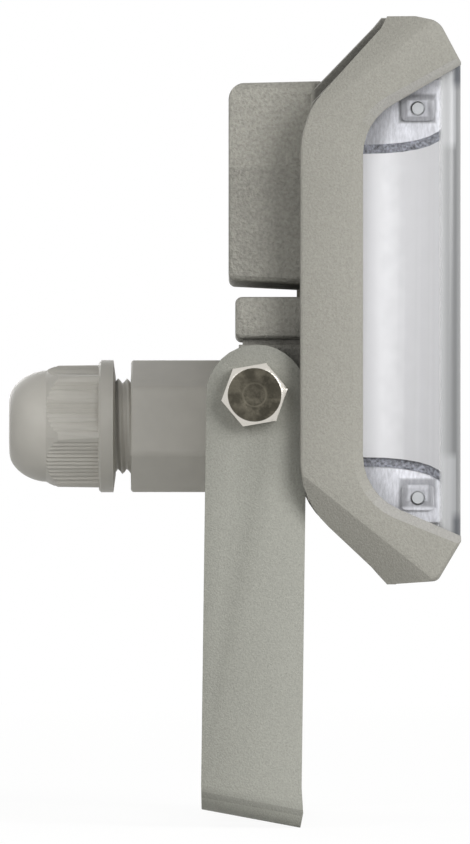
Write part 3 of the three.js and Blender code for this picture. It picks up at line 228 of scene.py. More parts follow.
def powder_coat(name, base, grain, height, contrast, band=None, recess=0.0, shade_by_height=None):
    """Polyester powder coat on cast aluminium or steel: a satin film whose small lumps catch the
    light and shade each other, so the flat faces never look smooth; the colour is also painted
    darker in the lumps' pits and paler on their crests. Side faces that lean down get painted
    shade. Beside a standing wall and under the cheek the film is painted dark as shade, and on the
    sloping band round a window it gets a painted highlight. The shade by height is two heights
    and the colour's share at each, painted light and shade."""
    drift_size, drift_share = 24 * MM, 0.06
    middle, pit_shade, crest_gleam = 0.9, 0.09, 0.1
    leaning_shade_shares = (0.95, 0.76)
    material, add = new_material(name)
    place = add("TexCoord").outputs["Object"]
    x, _, z = add("SeparateXYZ", [place]).outputs
    lumps = add("TexNoise", {"Vector": place, "Scale": 1 / grain, "Detail": 3.0, "Roughness": 0.65})
    drift = add("TexNoise", {"Vector": place, "Scale": 1 / drift_size, "Detail": 3.0})
    film = add(
        "Mix", {0: drift, 6: scaled(base, 1 - drift_share), 7: scaled(base, 1 + drift_share)},
        data_type="RGBA",
    )
    normal = add("SeparateXYZ", [add("NewGeometry").outputs["True Normal"]]).outputs
    facing = add("Math", [normal["Y"]], operation="ABSOLUTE")
    upright = add("MapRange", [facing, *WALL_FACING])
    # Painted highlight: on the sloping band round a window, except where it faces the front, the
    # film is painted paler where it catches the light.
    if band:
        leaning_out = add("MapRange", [facing, *reversed(WALL_FACING)])
        sloping = add("MapRange", [facing, *BAND_FACING])
        sloping = add("Math", [leaning_out, sloping], operation="MULTIPLY")
        not_front = add("MapRange", [normal["X"], *FRONT_FACING, 1.0, 0.0])
        sloping = add("Math", [sloping, not_front], operation="MULTIPLY")
        film = add("Mix", {0: sloping, 6: film, 7: band}, data_type="RGBA")
    # Painted shade: near a standing wall, found by ambient occlusion, and past COVERED_X under the
    # cheek, the film is painted dark where shade falls.
    if recess > 0:
        open_from, shut_from = 0.56, 0.46
        recess_shade, covered_shade, painted_shade_tone = 0.6, 0.7, tone("2E2C28")
        openness = add("AmbientOcclusion", {"Distance": recess}, samples=12).outputs["AO"]
        painted_shade_share = add("MapRange", [openness, open_from, shut_from, 0.0, recess_shade])
        covered = add("MapRange", [x, COVERED_X, COVERED_X + 1 * MM, 0.0, covered_shade])
        painted_shade_share = add("Math", [painted_shade_share, covered], operation="MAXIMUM")
        painted_shade_share = add("Math", [painted_shade_share, facing], operation="MULTIPLY")
        film = add("Mix", {0: painted_shade_share, 6: film, 7: painted_shade_tone}, data_type="RGBA")
    # Painted shade and highlight: the colour is darker in the lumps' pits and paler on their crests.
    pit, crest = middle - pit_shade * contrast, middle + crest_gleam * contrast
    level = add("MapRange", [lumps, *NOISE_SPAN, pit, crest])
    # Painted shade: upright side faces that lean down are painted darker.
    leaning = add("MapRange", [normal["Z"], *LEANING_DOWN])
    leaning = add("Math", [leaning, upright], operation="MULTIPLY")
    shade = add("MapRange", [leaning, 0.0, 1.0, *leaning_shade_shares])
    level = add("Math", [level, shade], operation="MULTIPLY")
    # Painted light and shade by height: the colour's share changes between two heights.
    if shade_by_height:
        level = add("Math", [level, add("MapRange", [z, *shade_by_height])], operation="MULTIPLY")
    grainy = add("Mix", {0: 1.0, 6: film, 7: level}, data_type="RGBA", blend_type="MULTIPLY")
    bump = add("Bump", {"Height": lumps, "Strength": 1.0, "Distance": height})
    shader = add(
        "BsdfPrincipled", {"Base Color": grainy, "Roughness": 0.62, "IOR": 1.5, "Normal": bump}
    )
    add("OutputMaterial", {"Surface": shader})
    return material


def moulded_nylon(name, base):
    """Glass-filled polyamide, moulded: an even satin skin with faint flow clouds."""
    cloud_size, cloud_share, skin_size, skin_height = 5 * MM, 0.08, 0.35 * MM, 0.03 * MM
    material, add = new_material(name)
    place = add("TexCoord").outputs["Object"]
    clouds = add("TexNoise", {"Vector": place, "Scale": 1 / cloud_size, "Detail": 4.0})
    body = add(
        "Mix", {0: clouds, 6: scaled(base, 1 - cloud_share), 7: scaled(base, 1 + cloud_share)},
        data_type="RGBA",
    )
    skin = add("TexNoise", {"Vector": place, "Scale": 1 / skin_size, "Detail": 2.0})
    bump = add("Bump", {"Height": skin, "Strength": 0.25, "Distance": skin_height})
    shader = add(
        "BsdfPrincipled", {"Base Color": body, "Roughness": 0.5, "IOR": 1.5, "Normal": bump}
    )
    add("OutputMaterial", {"Surface": shader})
    return material


def stainless_dark_reflection(name, base, dark_reflection_tone, reflection_disc_radius, highlight_ring_radius, axis):
    """Cold-forged stainless steel: the turned chamfers shine, and the face inside them is painted
    with a dark, cloudy reflection, paler on one side, and a bright ring as a painted highlight."""
    cloud_size, cloud_span = 2.6 * MM, (0.4, 0.64)
    paler_side, paler_share = 5 * MM, 0.35
    dark_share, pale_share, ring_share = 0.8, 1.75, 3.2
    ring_half_width, ring_strength, disc_blur = 0.3 * MM, 0.3, 0.15 * MM
    chamfer_roughness, disc_roughness, pit_depth = 0.2, 0.36, 0.2 * MM
    material, add = new_material(name)
    place = add("TexCoord").outputs["Object"]
    x, _, z = add("SeparateXYZ", [place]).outputs
    across = add("Math", [x, axis.x], operation="SUBTRACT")
    up = add("Math", [z, axis.z], operation="SUBTRACT")
    squares = [add("Math", [part, 2.0], operation="POWER") for part in (across, up)]
    reach = add("Math", [add("Math", squares, operation="ADD")], operation="SQRT")
    # Painted reflection: inside the disc the face is painted dark and cloudy, as the dark
    # surroundings it mirrors.
    disc = add("MapRange", [reach, reflection_disc_radius, reflection_disc_radius - disc_blur])
    waves = add(
        "TexNoise", {"Vector": place, "Scale": 1 / cloud_size, "Detail": 5.0, "Roughness": 0.6}
    )
    clouds = add("MapRange", [waves, *cloud_span])
    # Painted light: the painted reflection is paler on one side.
    paler = add("MapRange", [x, paler_side, -paler_side, -paler_share, paler_share])
    clouds = add("Math", [clouds, paler], operation="ADD")
    scale = add(
        "Mix", {0: clouds, 6: scaled(dark_reflection_tone, dark_share), 7: scaled(dark_reflection_tone, pale_share)},
        data_type="RGBA",
    )
    # Painted highlight: a bright ring on the face.
    off_ring = add("Math", [reach, highlight_ring_radius], operation="SUBTRACT")
    off_ring = add("Math", [off_ring], operation="ABSOLUTE")
    ring = add("MapRange", [off_ring, ring_half_width, 0.0])
    ring = add("Math", [ring, ring_strength], operation="MULTIPLY")
    scale = add("Mix", {0: ring, 6: scale, 7: scaled(dark_reflection_tone, ring_share)}, data_type="RGBA")
    skin = add("Mix", {0: disc, 6: base, 7: scale}, data_type="RGBA")
    roughness = add("MapRange", [disc, 0.0, 1.0, chamfer_roughness, disc_roughness])
    bump = add("Bump", {"Height": waves, "Strength": 0.7, "Distance": pit_depth})
    shader = add(
        "BsdfPrincipled",
        {"Base Color": skin, "Metallic": 1.0, "Roughness": roughness, "Normal": bump},
    )
    add("OutputMaterial", {"Surface": shader})
    return material


def clear_polycarbonate(name, room_x, front_x, column_y, middle_z):
    """Clear moulded polycarbonate: nearly invisible face on, and it lets the light in to what it
    covers. The front wall is seen along its whole width at its two ends, and there a pale grey
    column with a dark core is painted, as the shade and reflections of so much plastic."""
    core = front_x - 1.05 * MM  # the darkest line of the column
    core_blur = 0.15 * MM
    corner_span = (33.5 * MM, 35.5 * MM)  # from the middle, where the bright plates begin
    end_span = (46.6 * MM, 49 * MM)  # from the middle, where the window ends
    lead_from, lead_to = room_x - 2.2 * MM, core - 0.5 * MM
    end_from = core - 1.4 * MM
    inside_span = (room_x - 2.1 * MM, room_x - 0.9 * MM)
    column_blur = 0.5 * MM
    material, add = new_material(name)
    place = add("TexCoord").outputs["Object"]
    x, y, z = add("SeparateXYZ", [place]).outputs

    # A wall is seen through, and only the side that faces the ray mirrors.
    through = add("BsdfTransparent", {"Color": tone("FDFDFD")})
    gloss = add("BsdfAnisotropic", {"Color": tone("FFFFFF"), "Roughness": 0.04})
    leaving = add("NewGeometry").outputs["Backfacing"]
    entering = add("Math", [1.0, leaving], operation="SUBTRACT")
    mirrored = add("Math", [add("Fresnel", {"IOR": 1.45}), entering], operation="MULTIPLY")
    clear = add("MixShader", [mirrored, through, gloss])

    # Painted shade and light: the column darkens towards its core, pales past it and where the
    # bright plates lie behind it, and is darkest where the window ends.
    away = add("Math", [z, middle_z], operation="SUBTRACT")
    away = add("Math", [away], operation="ABSOLUTE")
    corner = add("MapRange", [away, *corner_span])
    along = add("MapRange", [x, lead_from, lead_to])
    lead = add("Mix", {0: along, 6: tone("C4C5C6"), 7: tone("7E7F80")}, data_type="RGBA")
    bright_lead = add("Mix", {0: along, 6: tone("C8C9CA"), 7: tone("A8A9AB")}, data_type="RGBA")
    lead = add("Mix", {0: corner, 6: lead, 7: bright_lead}, data_type="RGBA")
    past_core = add("MapRange", [x, core, front_x])
    tail = add("Mix", {0: past_core, 6: tone("838485"), 7: tone("A6A7A8")}, data_type="RGBA")
    half = add("MapRange", [x, core - core_blur, core + core_blur])
    column = add("Mix", {0: half, 6: lead, 7: tail}, data_type="RGBA")
    ending = add("MapRange", [away, *end_span])
    ending = add("Math", [ending, add("MapRange", [x, end_from, core])], operation="MULTIPLY")
    column = add("Mix", {0: ending, 6: column, 7: tone("5A5D62")}, data_type="RGBA")
    painted_column = add("BsdfPrincipled", {"Base Color": column, "Roughness": 0.35, "IOR": 1.5})

    # The painted column shows only at the two ends of the front wall, and keeps no light from what
    # is inside.
    inside = add("MapRange", [x, *inside_span])
    sideways = add("Math", [y], operation="ABSOLUTE")
    at_end = add("MapRange", [sideways, column_y - column_blur, column_y])
    painted_column_share = add("Math", [inside, at_end], operation="MULTIPLY")
    rays = add("LightPath").outputs
    lighting = add("Math", [rays["Is Shadow Ray"], rays["Is Diffuse Ray"]], operation="MAXIMUM")
    looking = add("Math", [1.0, lighting], operation="SUBTRACT")
    painted_column_share = add("Math", [painted_column_share, looking], operation="MULTIPLY")
    add("OutputMaterial", {"Surface": add("MixShader", [painted_column_share, clear, painted_column])})
    return material


def metallised_sheet(name, base, back_x, front_x, middle_z, screw):
    """Metallised sheet: streaky, with painted light that makes it brightest at the back and a little
    dimmer towards the front, and painted shade that darkens the seats of the screws' pads."""
    streak_size, streak_span, streak_levels = 1.1 * MM, (0.32, 0.68), (0.76, 1.1)
    patch_size, patch_share = 5 * MM, 0.14
    seat_half_length, seat_half_height = 7.4 * MM, 5.8 * MM
    material, add = new_material(name)
    place = add("TexCoord").outputs["Object"]
    x, _, z = add("SeparateXYZ", [place]).outputs
    stretched = add(
        "Mapping", {"Vector": place, "Rotation": (0.0, 0.35, 0.0), "Scale": (2.4, 1.0, 0.6)}
    )
    streaks = add(
        "TexNoise",
        {"Vector": stretched, "Scale": 1 / streak_size, "Detail": 4.0, "Roughness": 0.65},
    )
    patches = add("TexNoise", {"Vector": place, "Scale": 1 / patch_size, "Detail": 2.0})
    patchy = add("MapRange", [patches, *NOISE_SPAN, -patch_share, patch_share])
    # Painted light: brightest at the back, dimmer towards the front.
    depth = add("Math", [add("MapRange", [x, back_x, front_x]), patchy], operation="ADD")
    level = stops(add("ValToRGB", [depth]), (0.0, 1.0), (0.42, 0.98), (0.7, 0.88), (1.0, 0.9))
    streaky = add("MapRange", [streaks, *streak_span, *streak_levels])
    level = add("Math", [level, streaky], operation="MULTIPLY")

    # How far out each point lies in the seat round a screw, which is painted with shade: 0 at the
    # screw, 1 at its edge.
    along = add("Math", [x, screw.x], operation="SUBTRACT")
    along = add("Math", [along], operation="ABSOLUTE")
    away = add("Math", [z, middle_z], operation="SUBTRACT")
    away = add("Math", [away], operation="ABSOLUTE")
    up = add("Math", [away, abs(screw.z - middle_z)], operation="SUBTRACT")
    up = add("Math", [up], operation="ABSOLUTE")
    along = add("MapRange", [along, 0.0, seat_half_length])
    up = add("MapRange", [up, 0.0, seat_half_height])
    reach = add("Math", [along, up], operation="MAXIMUM")
    seat = stops(
        add("ValToRGB", [reach]), (0.0, 0.74), (0.28, 0.7), (0.34, 0.42), (0.5, 0.46), (0.6, 1.0)
    )
    level = add("Math", [level, seat], operation="MULTIPLY")
    skin = add("Mix", {0: 1.0, 6: base, 7: level}, data_type="RGBA", blend_type="MULTIPLY")
    bump = add("Bump", {"Height": streaks, "Strength": 0.35, "Distance": 0.08 * MM})
    shader = add(
        "BsdfPrincipled",
        {"Base Color": skin, "Metallic": 0.25, "Roughness": 0.36, "Normal": bump},
    )
    add("OutputMaterial", {"Surface": shader})
    return material


def satin_sheet(name, base, roughness, metallic, ripple, patch=6 * MM, contrast=0.03):
    """Formed sheet or plain moulding: a colour and a gloss that vary a little along faint ripples.
    The ripple is a height in metres, and the patch is the distance between two."""
    roughest_share = 1.5
    material, add = new_material(name)
    place = add("TexCoord").outputs["Object"]
    noise = add("TexNoise", {"Vector": place, "Scale": 1 / patch, "Detail": 3.0})
    share = add("MapRange", [noise, *NOISE_SPAN])
    shade = add(
        "Mix", {0: share, 6: scaled(base, 1 - contrast), 7: scaled(base, 1 + contrast)},
        data_type="RGBA",
    )
    rough = add("MapRange", [noise, *NOISE_SPAN, roughness, roughness * roughest_share])
    bump = add("Bump", {"Height": noise, "Strength": 0.5, "Distance": ripple})
    shader = add(
        "BsdfPrincipled",
        {"Base Color": shade, "Metallic": metallic, "Roughness": rough, "Normal": bump},
    )
    add("OutputMaterial", {"Surface": shader})
    return material


def satin_panel(name, base, back_x, front_x):
    """Satin white moulding with painted shade: palest where it leaves the frame and painted greyer
    towards the front.
    """
    cloud_size, cloud_share = 4 * MM, 0.05
    material, add = new_material(name)
    place = add("TexCoord").outputs["Object"]
    x, _, _ = add("SeparateXYZ", [place]).outputs
    clouds = add("TexNoise", {"Vector": place, "Scale": 1 / cloud_size, "Detail": 3.0})
    cloudy = add("MapRange", [clouds, *NOISE_SPAN, -cloud_share, cloud_share])
    depth = add("Math", [add("MapRange", [x, back_x, front_x]), cloudy], operation="ADD")
    level = stops(add("ValToRGB", [depth]), (0.0, 1.0), (0.2, 0.97), (0.52, 0.73), (0.85, 0.65))
    shade = add("Mix", {0: 1.0, 6: base, 7: level}, data_type="RGBA", blend_type="MULTIPLY")
    shader = add("BsdfPrincipled", {"Base Color": shade, "Roughness": 0.5, "IOR": 1.45})
    add("OutputMaterial", {"Surface": shader})
    return material


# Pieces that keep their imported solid: material name, colour, roughness, metallic and ripple in mm.
PLAIN_PIECES = {
    # Rolled aluminium: a pale metal sheen, softened by the marks of the rolls.
    "led_carrier": ("rolled_aluminium", "BBBDBF", 0.35, 1.0, 0.03),
    # Filled silicone: a dull grey that hardly shines.
    "thermal_pad": ("silicone_pad", "70706C", 0.7, 0.0, 0.05),
    # White solder mask: a warm white lacquer with a soft gloss.
    "led_board": ("white_solder_mask", "F1F1EE", 0.4, 0.0, 0.01),
    # Phosphor in silicone: an even yellow with a smooth skin.
    "led_emitter": ("phosphor_silicone", "E2C14A", 0.3, 0.0, 0.02),
    # Potted plastic case: near black, half matte.
    "driver_unit": ("potted_case", "35383C", 0.5, 0.0, 0.05),
    # Moulded polyamide: a pale grey satin.
    "terminal_block": ("polyamide_terminals", "C8C9C6", 0.45, 0.0, 0.03),
    # Silicone cord: a matte black line under the lens's flange.
    "lens_gasket": ("silicone_gasket", "2E2E2E", 0.6, 0.0, 0.03),
}


def cover(thing, material):
    """Gives an object its one material."""
    thing.data.materials.clear()
    thing.data.materials.append(material)


def paint(piece, material):
    """Gives a piece its one material."""
    cover(piece, material)


def body_of_node(name):
    """The body that a solid moves with."""
    return frame["nodes"][name]["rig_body"]


def box_of_node(name):
    """Lowest and highest corner of a solid."""
    corners = [Vector(corner) for corner in frame["nodes"][name].bound_box]
    return Vector(map(min, zip(*corners))), Vector(map(max, zip(*corners)))


def mesh_from(data):
    """An editable copy of a mesh."""
    mesh = bmesh.new()
    mesh.from_mesh(data)
    return mesh


def mesh_to(mesh, data):
    """Writes an edited mesh back and frees it."""
    mesh.to_mesh(data)
    mesh.free()


def object_from(mesh, name):
    """Puts an edited mesh in the scene as a new object, and frees it."""
    data = bpy.data.meshes.new(name)
    mesh_to(mesh, data)
    thing = bpy.data.objects.new(name, data)
    bpy.context.scene.collection.objects.link(thing)
    return thing


def bevel_edges(mesh, edges, radius, segments):
    """Rounds some edges of an editable mesh."""
    bmesh.ops.bevel(
        mesh, geom=edges, offset=radius, offset_type="OFFSET", affect="EDGES", segments=segments,
        profile=0.5, material=-1, clamp_overlap=True,
    )


def meets_between(edge, least, most):
    """Whether the two faces at an edge turn by an angle between these, in degrees."""
    return math.radians(least) < edge.calc_face_angle(0.0) < math.radians(most)


def rounded_piece(node, piece_name, edge, corner=28.0, flatten=1.0, crease=0.0):
    """A copy of a solid with its flat faces made whole, and each edge sharper than the corner
    angle rounded, or only drawn sharp where the radius is 0. Between two faces that meet at a
    shallow angle, the crease is rounded to its own radius. Angles are in degrees."""
    crease_length, crease_angles = 6 * MM, (15, 24)
    mesh = mesh_from(frame["nodes"][node].data)
    bmesh.ops.remove_doubles(mesh, verts=mesh.verts, dist=MERGE)
    if flatten > 0:
        bmesh.ops.dissolve_limit(
            mesh, angle_limit=math.radians(flatten), verts=mesh.verts, edges=mesh.edges,
            use_dissolve_boundaries=False,
        )
    if crease > 0:
        shallow = [
            e for e in mesh.edges
            if e.calc_length() > crease_length and meets_between(e, *crease_angles)
        ]
        bevel_edges(mesh, shallow, crease, segments=4)
    piece = object_from(mesh, piece_name)
    piece.data.shade_smooth()
    if edge > 0:
        bevel = piece.modifiers.new("Edge", "BEVEL")
        bevel.width = edge
        bevel.segments = 2
        bevel.limit_method = "ANGLE"
        bevel.angle_limit = math.radians(corner)
        bevel.harden_normals = True
        bevel.miter_outer = "MITER_ARC"
    else:
        piece.data.set_sharp_from_angle(angle=math.radians(corner))
    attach(piece, body_of_node(node))
    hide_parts(node)
    return piece


class FLOODLIGHT_OT_castings(Operator):
    """Rounds the edges of the two painted castings and gives them their powder coats"""

    bl_idname = "floodlight.castings"
    bl_label = "Castings"

    def execute(self, context):
        sizes, colours = context.scene.flood_sizes, context.scene.flood_colours
        smooth_coat = powder_coat(
            "powder_coat_casting", colours.casting, sizes.casting_grain, height=0.18 * MM,
            contrast=1.2, band=colours.band,
        )
        # The housing is a shade darker, and it is painted paler above the crease, where it leans
        # back to the light, and painted darker below it.
        coarse_coat = powder_coat(
            "powder_coat_housing", scaled(colours.casting, 0.99), sizes.box_grain,
            height=0.55 * MM, contrast=2.0, recess=sizes.recess, shade_by_height=(*BOX_CREASE_Z, 0.94, 1.12),
        )
        bezel = rounded_piece(
            "front_bezel", "bezel_casting", sizes.casting_edge, crease=sizes.casting_crease
        )
        housing = rounded_piece("rear_housing", "housing_casting", sizes.housing_edge)
        paint(bezel, smooth_coat)
        paint(housing, coarse_coat)
        return {"FINISHED"}


class FLOODLIGHT_OT_bracket(Operator):
    """Rounds the cut edges of the bent bracket and gives it its powder coat"""

    bl_idname = "floodlight.bracket"
    bl_label = "Bracket"

    def execute(self, context):
        sizes, colours = context.scene.flood_sizes, context.scene.flood_colours
        # The ear is painted darker, as the shade of the lamp's head.
        coat = powder_coat(
            "powder_coat_bracket", colours.bracket, sizes.bracket_grain, height=0.17 * MM,
            contrast=1.3, shade_by_height=(*EAR_Z, 1.0, 0.8),
        )
        strip = rounded_piece("bracket", "bracket_strip", sizes.bracket_edge)
        paint(strip, coat)
        return {"FINISHED"}


class FLOODLIGHT_OT_bolts(Operator):
    """Finishes the pivot bolts and the screws in stainless or zinc-plated steel"""

    bl_idname = "floodlight.bolts"
    bl_label = "Bolts and screws"

    def execute(self, context):
        sizes, colours = context.scene.flood_sizes, context.scene.flood_colours
        low, high = box_of_node("friction_washer_near")
        steel = stainless_dark_reflection(
            "stainless_dark_reflection", colours.stainless, colours.forged, sizes.reflection_disc_radius,
            sizes.highlight_ring_radius, axis=(low + high) / 2,
        )
        for side in SIDES:
            bolt = rounded_piece(
                f"pivot_bolt_{side}", f"bolt_{side}", edge=0.12 * MM, flatten=0.5
            )
            paint(bolt, steel)
        # Zinc plating: a cool, bright metal with a thin, even haze.
        zinc = satin_sheet("zinc_plated_steel", tone("B4B6B8"), 0.3, 1.0, 0.05 * MM)
        for name, node in frame["nodes"].items():
            if name.startswith("bezel_screw"):
                cover(node, steel)
            elif name.startswith(("carrier_screw", "end_screw", "friction_washer")):
                cover(node, zinc)
        return {"FINISHED"}


class FLOODLIGHT_OT_gland(Operator):
    """Finishes the cable gland: nylon body, cap nut and locknut, rubber seals"""

    bl_idname = "floodlight.gland"
    bl_label = "Cable gland"

    body_corner = 40.0  # degrees from which the body's edges are drawn sharp

    def soften_hexagon(self, body, radius):
        """Rounds the long corners of the body's hexagon, as its mould does."""
        least_length, parallel, corner_angles = 5 * MM, 0.999, (50, 70)
        mesh = mesh_from(body.data)
        corners = []
        for edge in mesh.edges:
            along = (edge.verts[1].co - edge.verts[0].co).normalized()
            long_corner = abs(along.x) > parallel and edge.calc_length() > least_length
            if long_corner and meets_between(edge, *corner_angles):
                corners.append(edge)
        bevel_edges(mesh, corners, radius, segments=3)
        mesh_to(mesh, body.data)
        body.data.shade_smooth()
        body.data.set_sharp_from_angle(angle=math.radians(self.body_corner))

    def smooth_turned_ends(self, nut):
        """Leaves only the ribbed grip with hard edges, between the nut's turned dome and flange."""
        dome_length, flange_length, smooth_below = 9.3 * MM, 3.3 * MM, math.radians(24)
        low, high = box_of_node("gland_nut")
        mesh = mesh_from(nut.data)
        for edge in mesh.edges:
            middle_x = (edge.verts[0].co.x + edge.verts[1].co.x) / 2
            if not low.x + dome_length < middle_x < high.x - flange_length:
                edge.smooth = edge.calc_face_angle(0.0) < smooth_below
        mesh_to(mesh, nut.data)

    def execute(self, context):
        nylon = moulded_nylon("moulded_nylon", context.scene.flood_colours.nylon)
        # Nitrile rubber: matte black that shines a little where it is bent.
        rubber = satin_sheet("nitrile_rubber", tone("2B2B2B"), 0.6, 0.0, 0.04 * MM)
        body = rounded_piece(
            "gland_body", "gland_stub", edge=0.0, corner=self.body_corner, flatten=0.5
        )
        self.soften_hexagon(body, context.scene.flood_sizes.gland_edge)
        paint(body, nylon)
        nut = rounded_piece("gland_nut", "gland_cap", edge=0.0, corner=6.0, flatten=0)
        self.smooth_turned_ends(nut)
        paint(nut, nylon)
        cover(frame["nodes"]["gland_locknut"], nylon)
        cover(frame["nodes"]["gland_seal"], rubber)
        cover(frame["nodes"]["gland_gasket"], rubber)
        return {"FINISHED"}


class FLOODLIGHT_OT_lens(Operator):
    """Makes the clear lens and what shows through it"""

    bl_idname = "floodlight.lens"
    bl_label = "Lens and optics"

    def shade_rim_of_panel(self, side, width, to_frame, material):
        """Makes a dark rim of painted shade round a panel on the end plate, from the panel's
        outline.
        """
        thickness_share = 0.28
        low, high = box_of_node(f"side_panel_{side}")
        plate_y = low.y if side == "far" else high.y
        taller = 1 + 2 * width / (high.z - low.z)
        mesh = mesh_from(frame["nodes"][f"side_panel_{side}"].data)
        seat = Vector((high.x, plate_y, (low.z + high.z) / 2))
        bmesh.ops.scale(
            mesh, verts=mesh.verts, vec=(to_frame, thickness_share, taller),
            space=Matrix.Translation(-seat),
        )
        rim = object_from(mesh, f"panel_shade_rim_{side}")
        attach(rim, body_of_node(f"side_panel_{side}"))
        paint(rim, material)

    def execute(self, context):
        sizes, colours = context.scene.flood_sizes, context.scene.flood_colours
        front_wall, side_wall, flange = 2.8 * MM, 3.2 * MM, 2.5 * MM
        low, high = box_of_node("lens")
        room_x, middle_z = high.x - front_wall, (low.z + high.z) / 2
        shell = rounded_piece("lens", "lens_shell", sizes.lens_edge)
        clear = clear_polycarbonate(
            "clear_polycarbonate", room_x, high.x, high.y - side_wall, middle_z
        )
        paint(shell, clear)

        screw_low, screw_high = box_of_node("end_screw_near_1")
        bright = metallised_sheet(
            "vacuum_metallised", colours.bright, low.x + flange, room_x, middle_z,
            screw=(screw_low + screw_high) / 2,
        )
        # A dark, blotchy metal sheet of painted shade, standing for the shade under the window's
        # edge.
        rim_shade_material = satin_sheet(
            "painted_shade_rim", colours.rim, 0.4, 0.5, 0.1 * MM, patch=0.6 * MM, contrast=0.8
        )
        panel_low, panel_high = box_of_node("side_panel_near")
        satin = satin_panel("satin_white_moulding", colours.panel, panel_low.x, panel_high.x)
        # Each panel is drawn out backwards, so that it reaches the frame behind the window's edge.
        to_frame = (panel_high.x - low.x) / (panel_high.x - panel_low.x)
        front = Matrix.Translation((panel_high.x, 0.0, 0.0))
        drawn_out = front @ Matrix.Diagonal((to_frame, 1.0, 1.0, 1.0)) @ front.inverted()
        for side in SIDES:
            end = rounded_piece(f"reflector_end_{side}", f"end_plate_{side}", sizes.sheet_edge)
            paint(end, bright)
            panel = rounded_piece(
                f"side_panel_{side}", f"panel_{side}", sizes.sheet_edge, flatten=0.3
            )
            panel.data.transform(drawn_out)
            paint(panel, satin)
            self.shade_rim_of_panel(side, sizes.shade_rim_width, to_frame, rim_shade_material)
        cover(frame["nodes"]["reflector"], bright)
        return {"FINISHED"}


class FLOODLIGHT_OT_inside(Operator):
    """Finishes the pieces inside: plate, pad, board, light source, driver and terminals"""

    bl_idname = "floodlight.inside"
    bl_label = "Inside pieces"

    def execute(self, context):
        for name, (finish, code, roughness, metallic, ripple) in PLAIN_PIECES.items():
            material = satin_sheet(finish, tone(code), roughness, metallic, ripple * MM)
            cover(frame["nodes"][name], material)
        return {"FINISHED"}


def seen_share(add):
    """1 for a ray from the camera, through a clear piece or off a gloss, and 0 for all others."""
    rays = add("LightPath").outputs
    straight = add(
        "Math", [rays["Is Camera Ray"], rays["Is Transmission Ray"]], operation="MAXIMUM"
    )
    return add("Math", [straight, rays["Is Glossy Ray"]], operation="MAXIMUM")


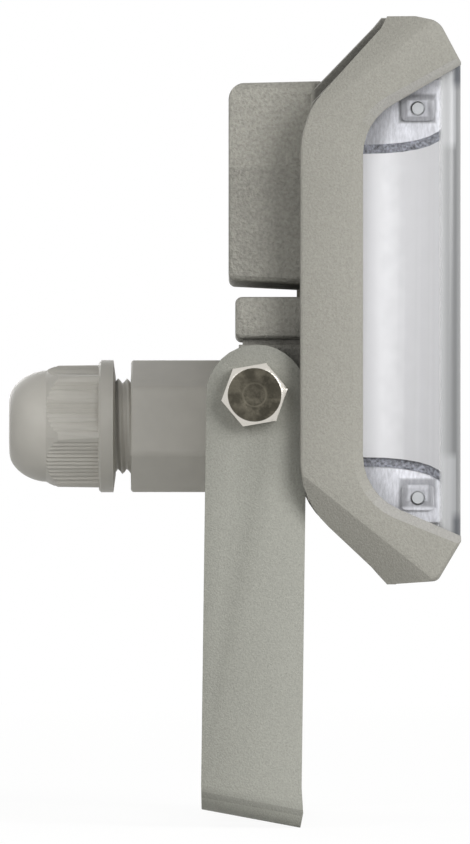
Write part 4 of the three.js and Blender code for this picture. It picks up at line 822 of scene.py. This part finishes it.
class FLOODLIGHT_OT_stage(Operator):
    """Makes the floor, the soft studio lights, the white surround and the camera"""

    bl_idname = "floodlight.stage"
    bl_label = "Stage"

    def lay_floor(self, colours):
        """A pale matte floor that takes the shadows and is seen nearly white."""
        mesh = bmesh.new()
        bmesh.ops.create_circle(mesh, cap_ends=True, segments=96, radius=FLOOR_RADIUS)
        bmesh.ops.translate(mesh, verts=mesh.verts, vec=(0.0, 0.0, solid_bounds[0].z))
        floor = object_from(mesh, "studio_floor")
        material, add = new_material("studio_floor_paint")
        share = add("Math", [seen_share(add), FLOOR_SHARE], operation="MULTIPLY")
        matte = add("BsdfDiffuse", {"Color": colours.floor})
        glow = add("Emission", {"Color": tone("FFFFFF"), "Strength": FLOOR_GLOW})
        add("OutputMaterial", {"Surface": add("MixShader", [share, matte, glow])})
        cover(floor, material)

    def hang_surround(self, scene):
        """A white surround that is seen at full strength and lights only softly."""
        scene.world = bpy.data.worlds.new("studio")
        scene.world.use_nodes = True
        scene.world.node_tree.nodes.clear()
        add = partial(add_node, scene.world.node_tree)
        soft = add("Background", {"Color": tone("FFFFFF"), "Strength": SOFT_LIGHT})
        white = add("Background", {"Color": tone("FFFFFF"), "Strength": WHITE_LIGHT})
        add("OutputWorld", {"Surface": add("MixShader", [seen_share(add), soft, white])})

    def hang_light(self, scene, name, place, size, watts):
        """A round area light that points at the lamp."""
        lamp = bpy.data.lights.new(name, "AREA")
        lamp.shape = "DISK"
        lamp.size = size
        lamp.energy = watts
        holder = bpy.data.objects.new(name, lamp)
        holder.location = place
        holder.rotation_mode = "QUATERNION"
        way = Vector(LIGHT_TARGET) - Vector(place)
        holder.rotation_quaternion = way.to_track_quat("-Z", "Y")
        scene.collection.objects.link(holder)

    def place_camera(self, scene):
        """A level camera whose field is as high as the picture at the lamp's middle plane."""
        half_height = PICTURE_HEIGHT / 2 / PIXELS_PER_MM * MM
        view = bpy.data.cameras.new("camera")
        view.sensor_width = SENSOR
        view.lens = SENSOR / 2 / (half_height / abs(EYE.y))
        view.clip_start = 0.1
        view.clip_end = 20.0
        camera = bpy.data.objects.new("camera", view)
        camera.location = EYE
        camera.rotation_euler = (math.radians(90), 0.0, 0.0)
        scene.collection.objects.link(camera)
        scene.camera = camera

    def execute(self, context):
        scene = context.scene
        scene.view_settings.view_transform = "Standard"
        self.lay_floor(scene.flood_colours)
        self.hang_surround(scene)
        for light in LIGHTS:
            self.hang_light(scene, *light)
        self.place_camera(scene)
        return {"FINISHED"}


class FLOODLIGHT_PT_sidebar(Panel):
    bl_label = "Flood Light"
    bl_idname = "FLOODLIGHT_PT_sidebar"
    bl_space_type = "VIEW_3D"
    bl_region_type = "UI"
    bl_category = "Flood Light"

    def draw(self, context):
        for operator in OPERATORS:
            self.layout.operator(operator.bl_idname)
        for group in (context.scene.flood_sizes, context.scene.flood_colours):
            for name in group.__annotations__:
                self.layout.prop(group, name)


OPERATORS = (
    FLOODLIGHT_OT_castings,
    FLOODLIGHT_OT_bracket,
    FLOODLIGHT_OT_bolts,
    FLOODLIGHT_OT_gland,
    FLOODLIGHT_OT_lens,
    FLOODLIGHT_OT_inside,
    FLOODLIGHT_OT_stage,
)
CLASSES = (FloodLightSizes, FloodLightColours, *OPERATORS, FLOODLIGHT_PT_sidebar)


def register():
    for cls in CLASSES:
        bpy.utils.register_class(cls)
    bpy.types.Scene.flood_sizes = PointerProperty(type=FloodLightSizes)
    bpy.types.Scene.flood_colours = PointerProperty(type=FloodLightColours)


def unregister():
    del bpy.types.Scene.flood_colours
    del bpy.types.Scene.flood_sizes
    for cls in reversed(CLASSES):
        bpy.utils.unregister_class(cls)


def main():
    register()
    bpy.ops.floodlight.castings()
    bpy.ops.floodlight.bracket()
    bpy.ops.floodlight.bolts()
    bpy.ops.floodlight.gland()
    bpy.ops.floodlight.lens()
    bpy.ops.floodlight.inside()
    bpy.ops.floodlight.stage()


if __name__ == "__main__":
    main()
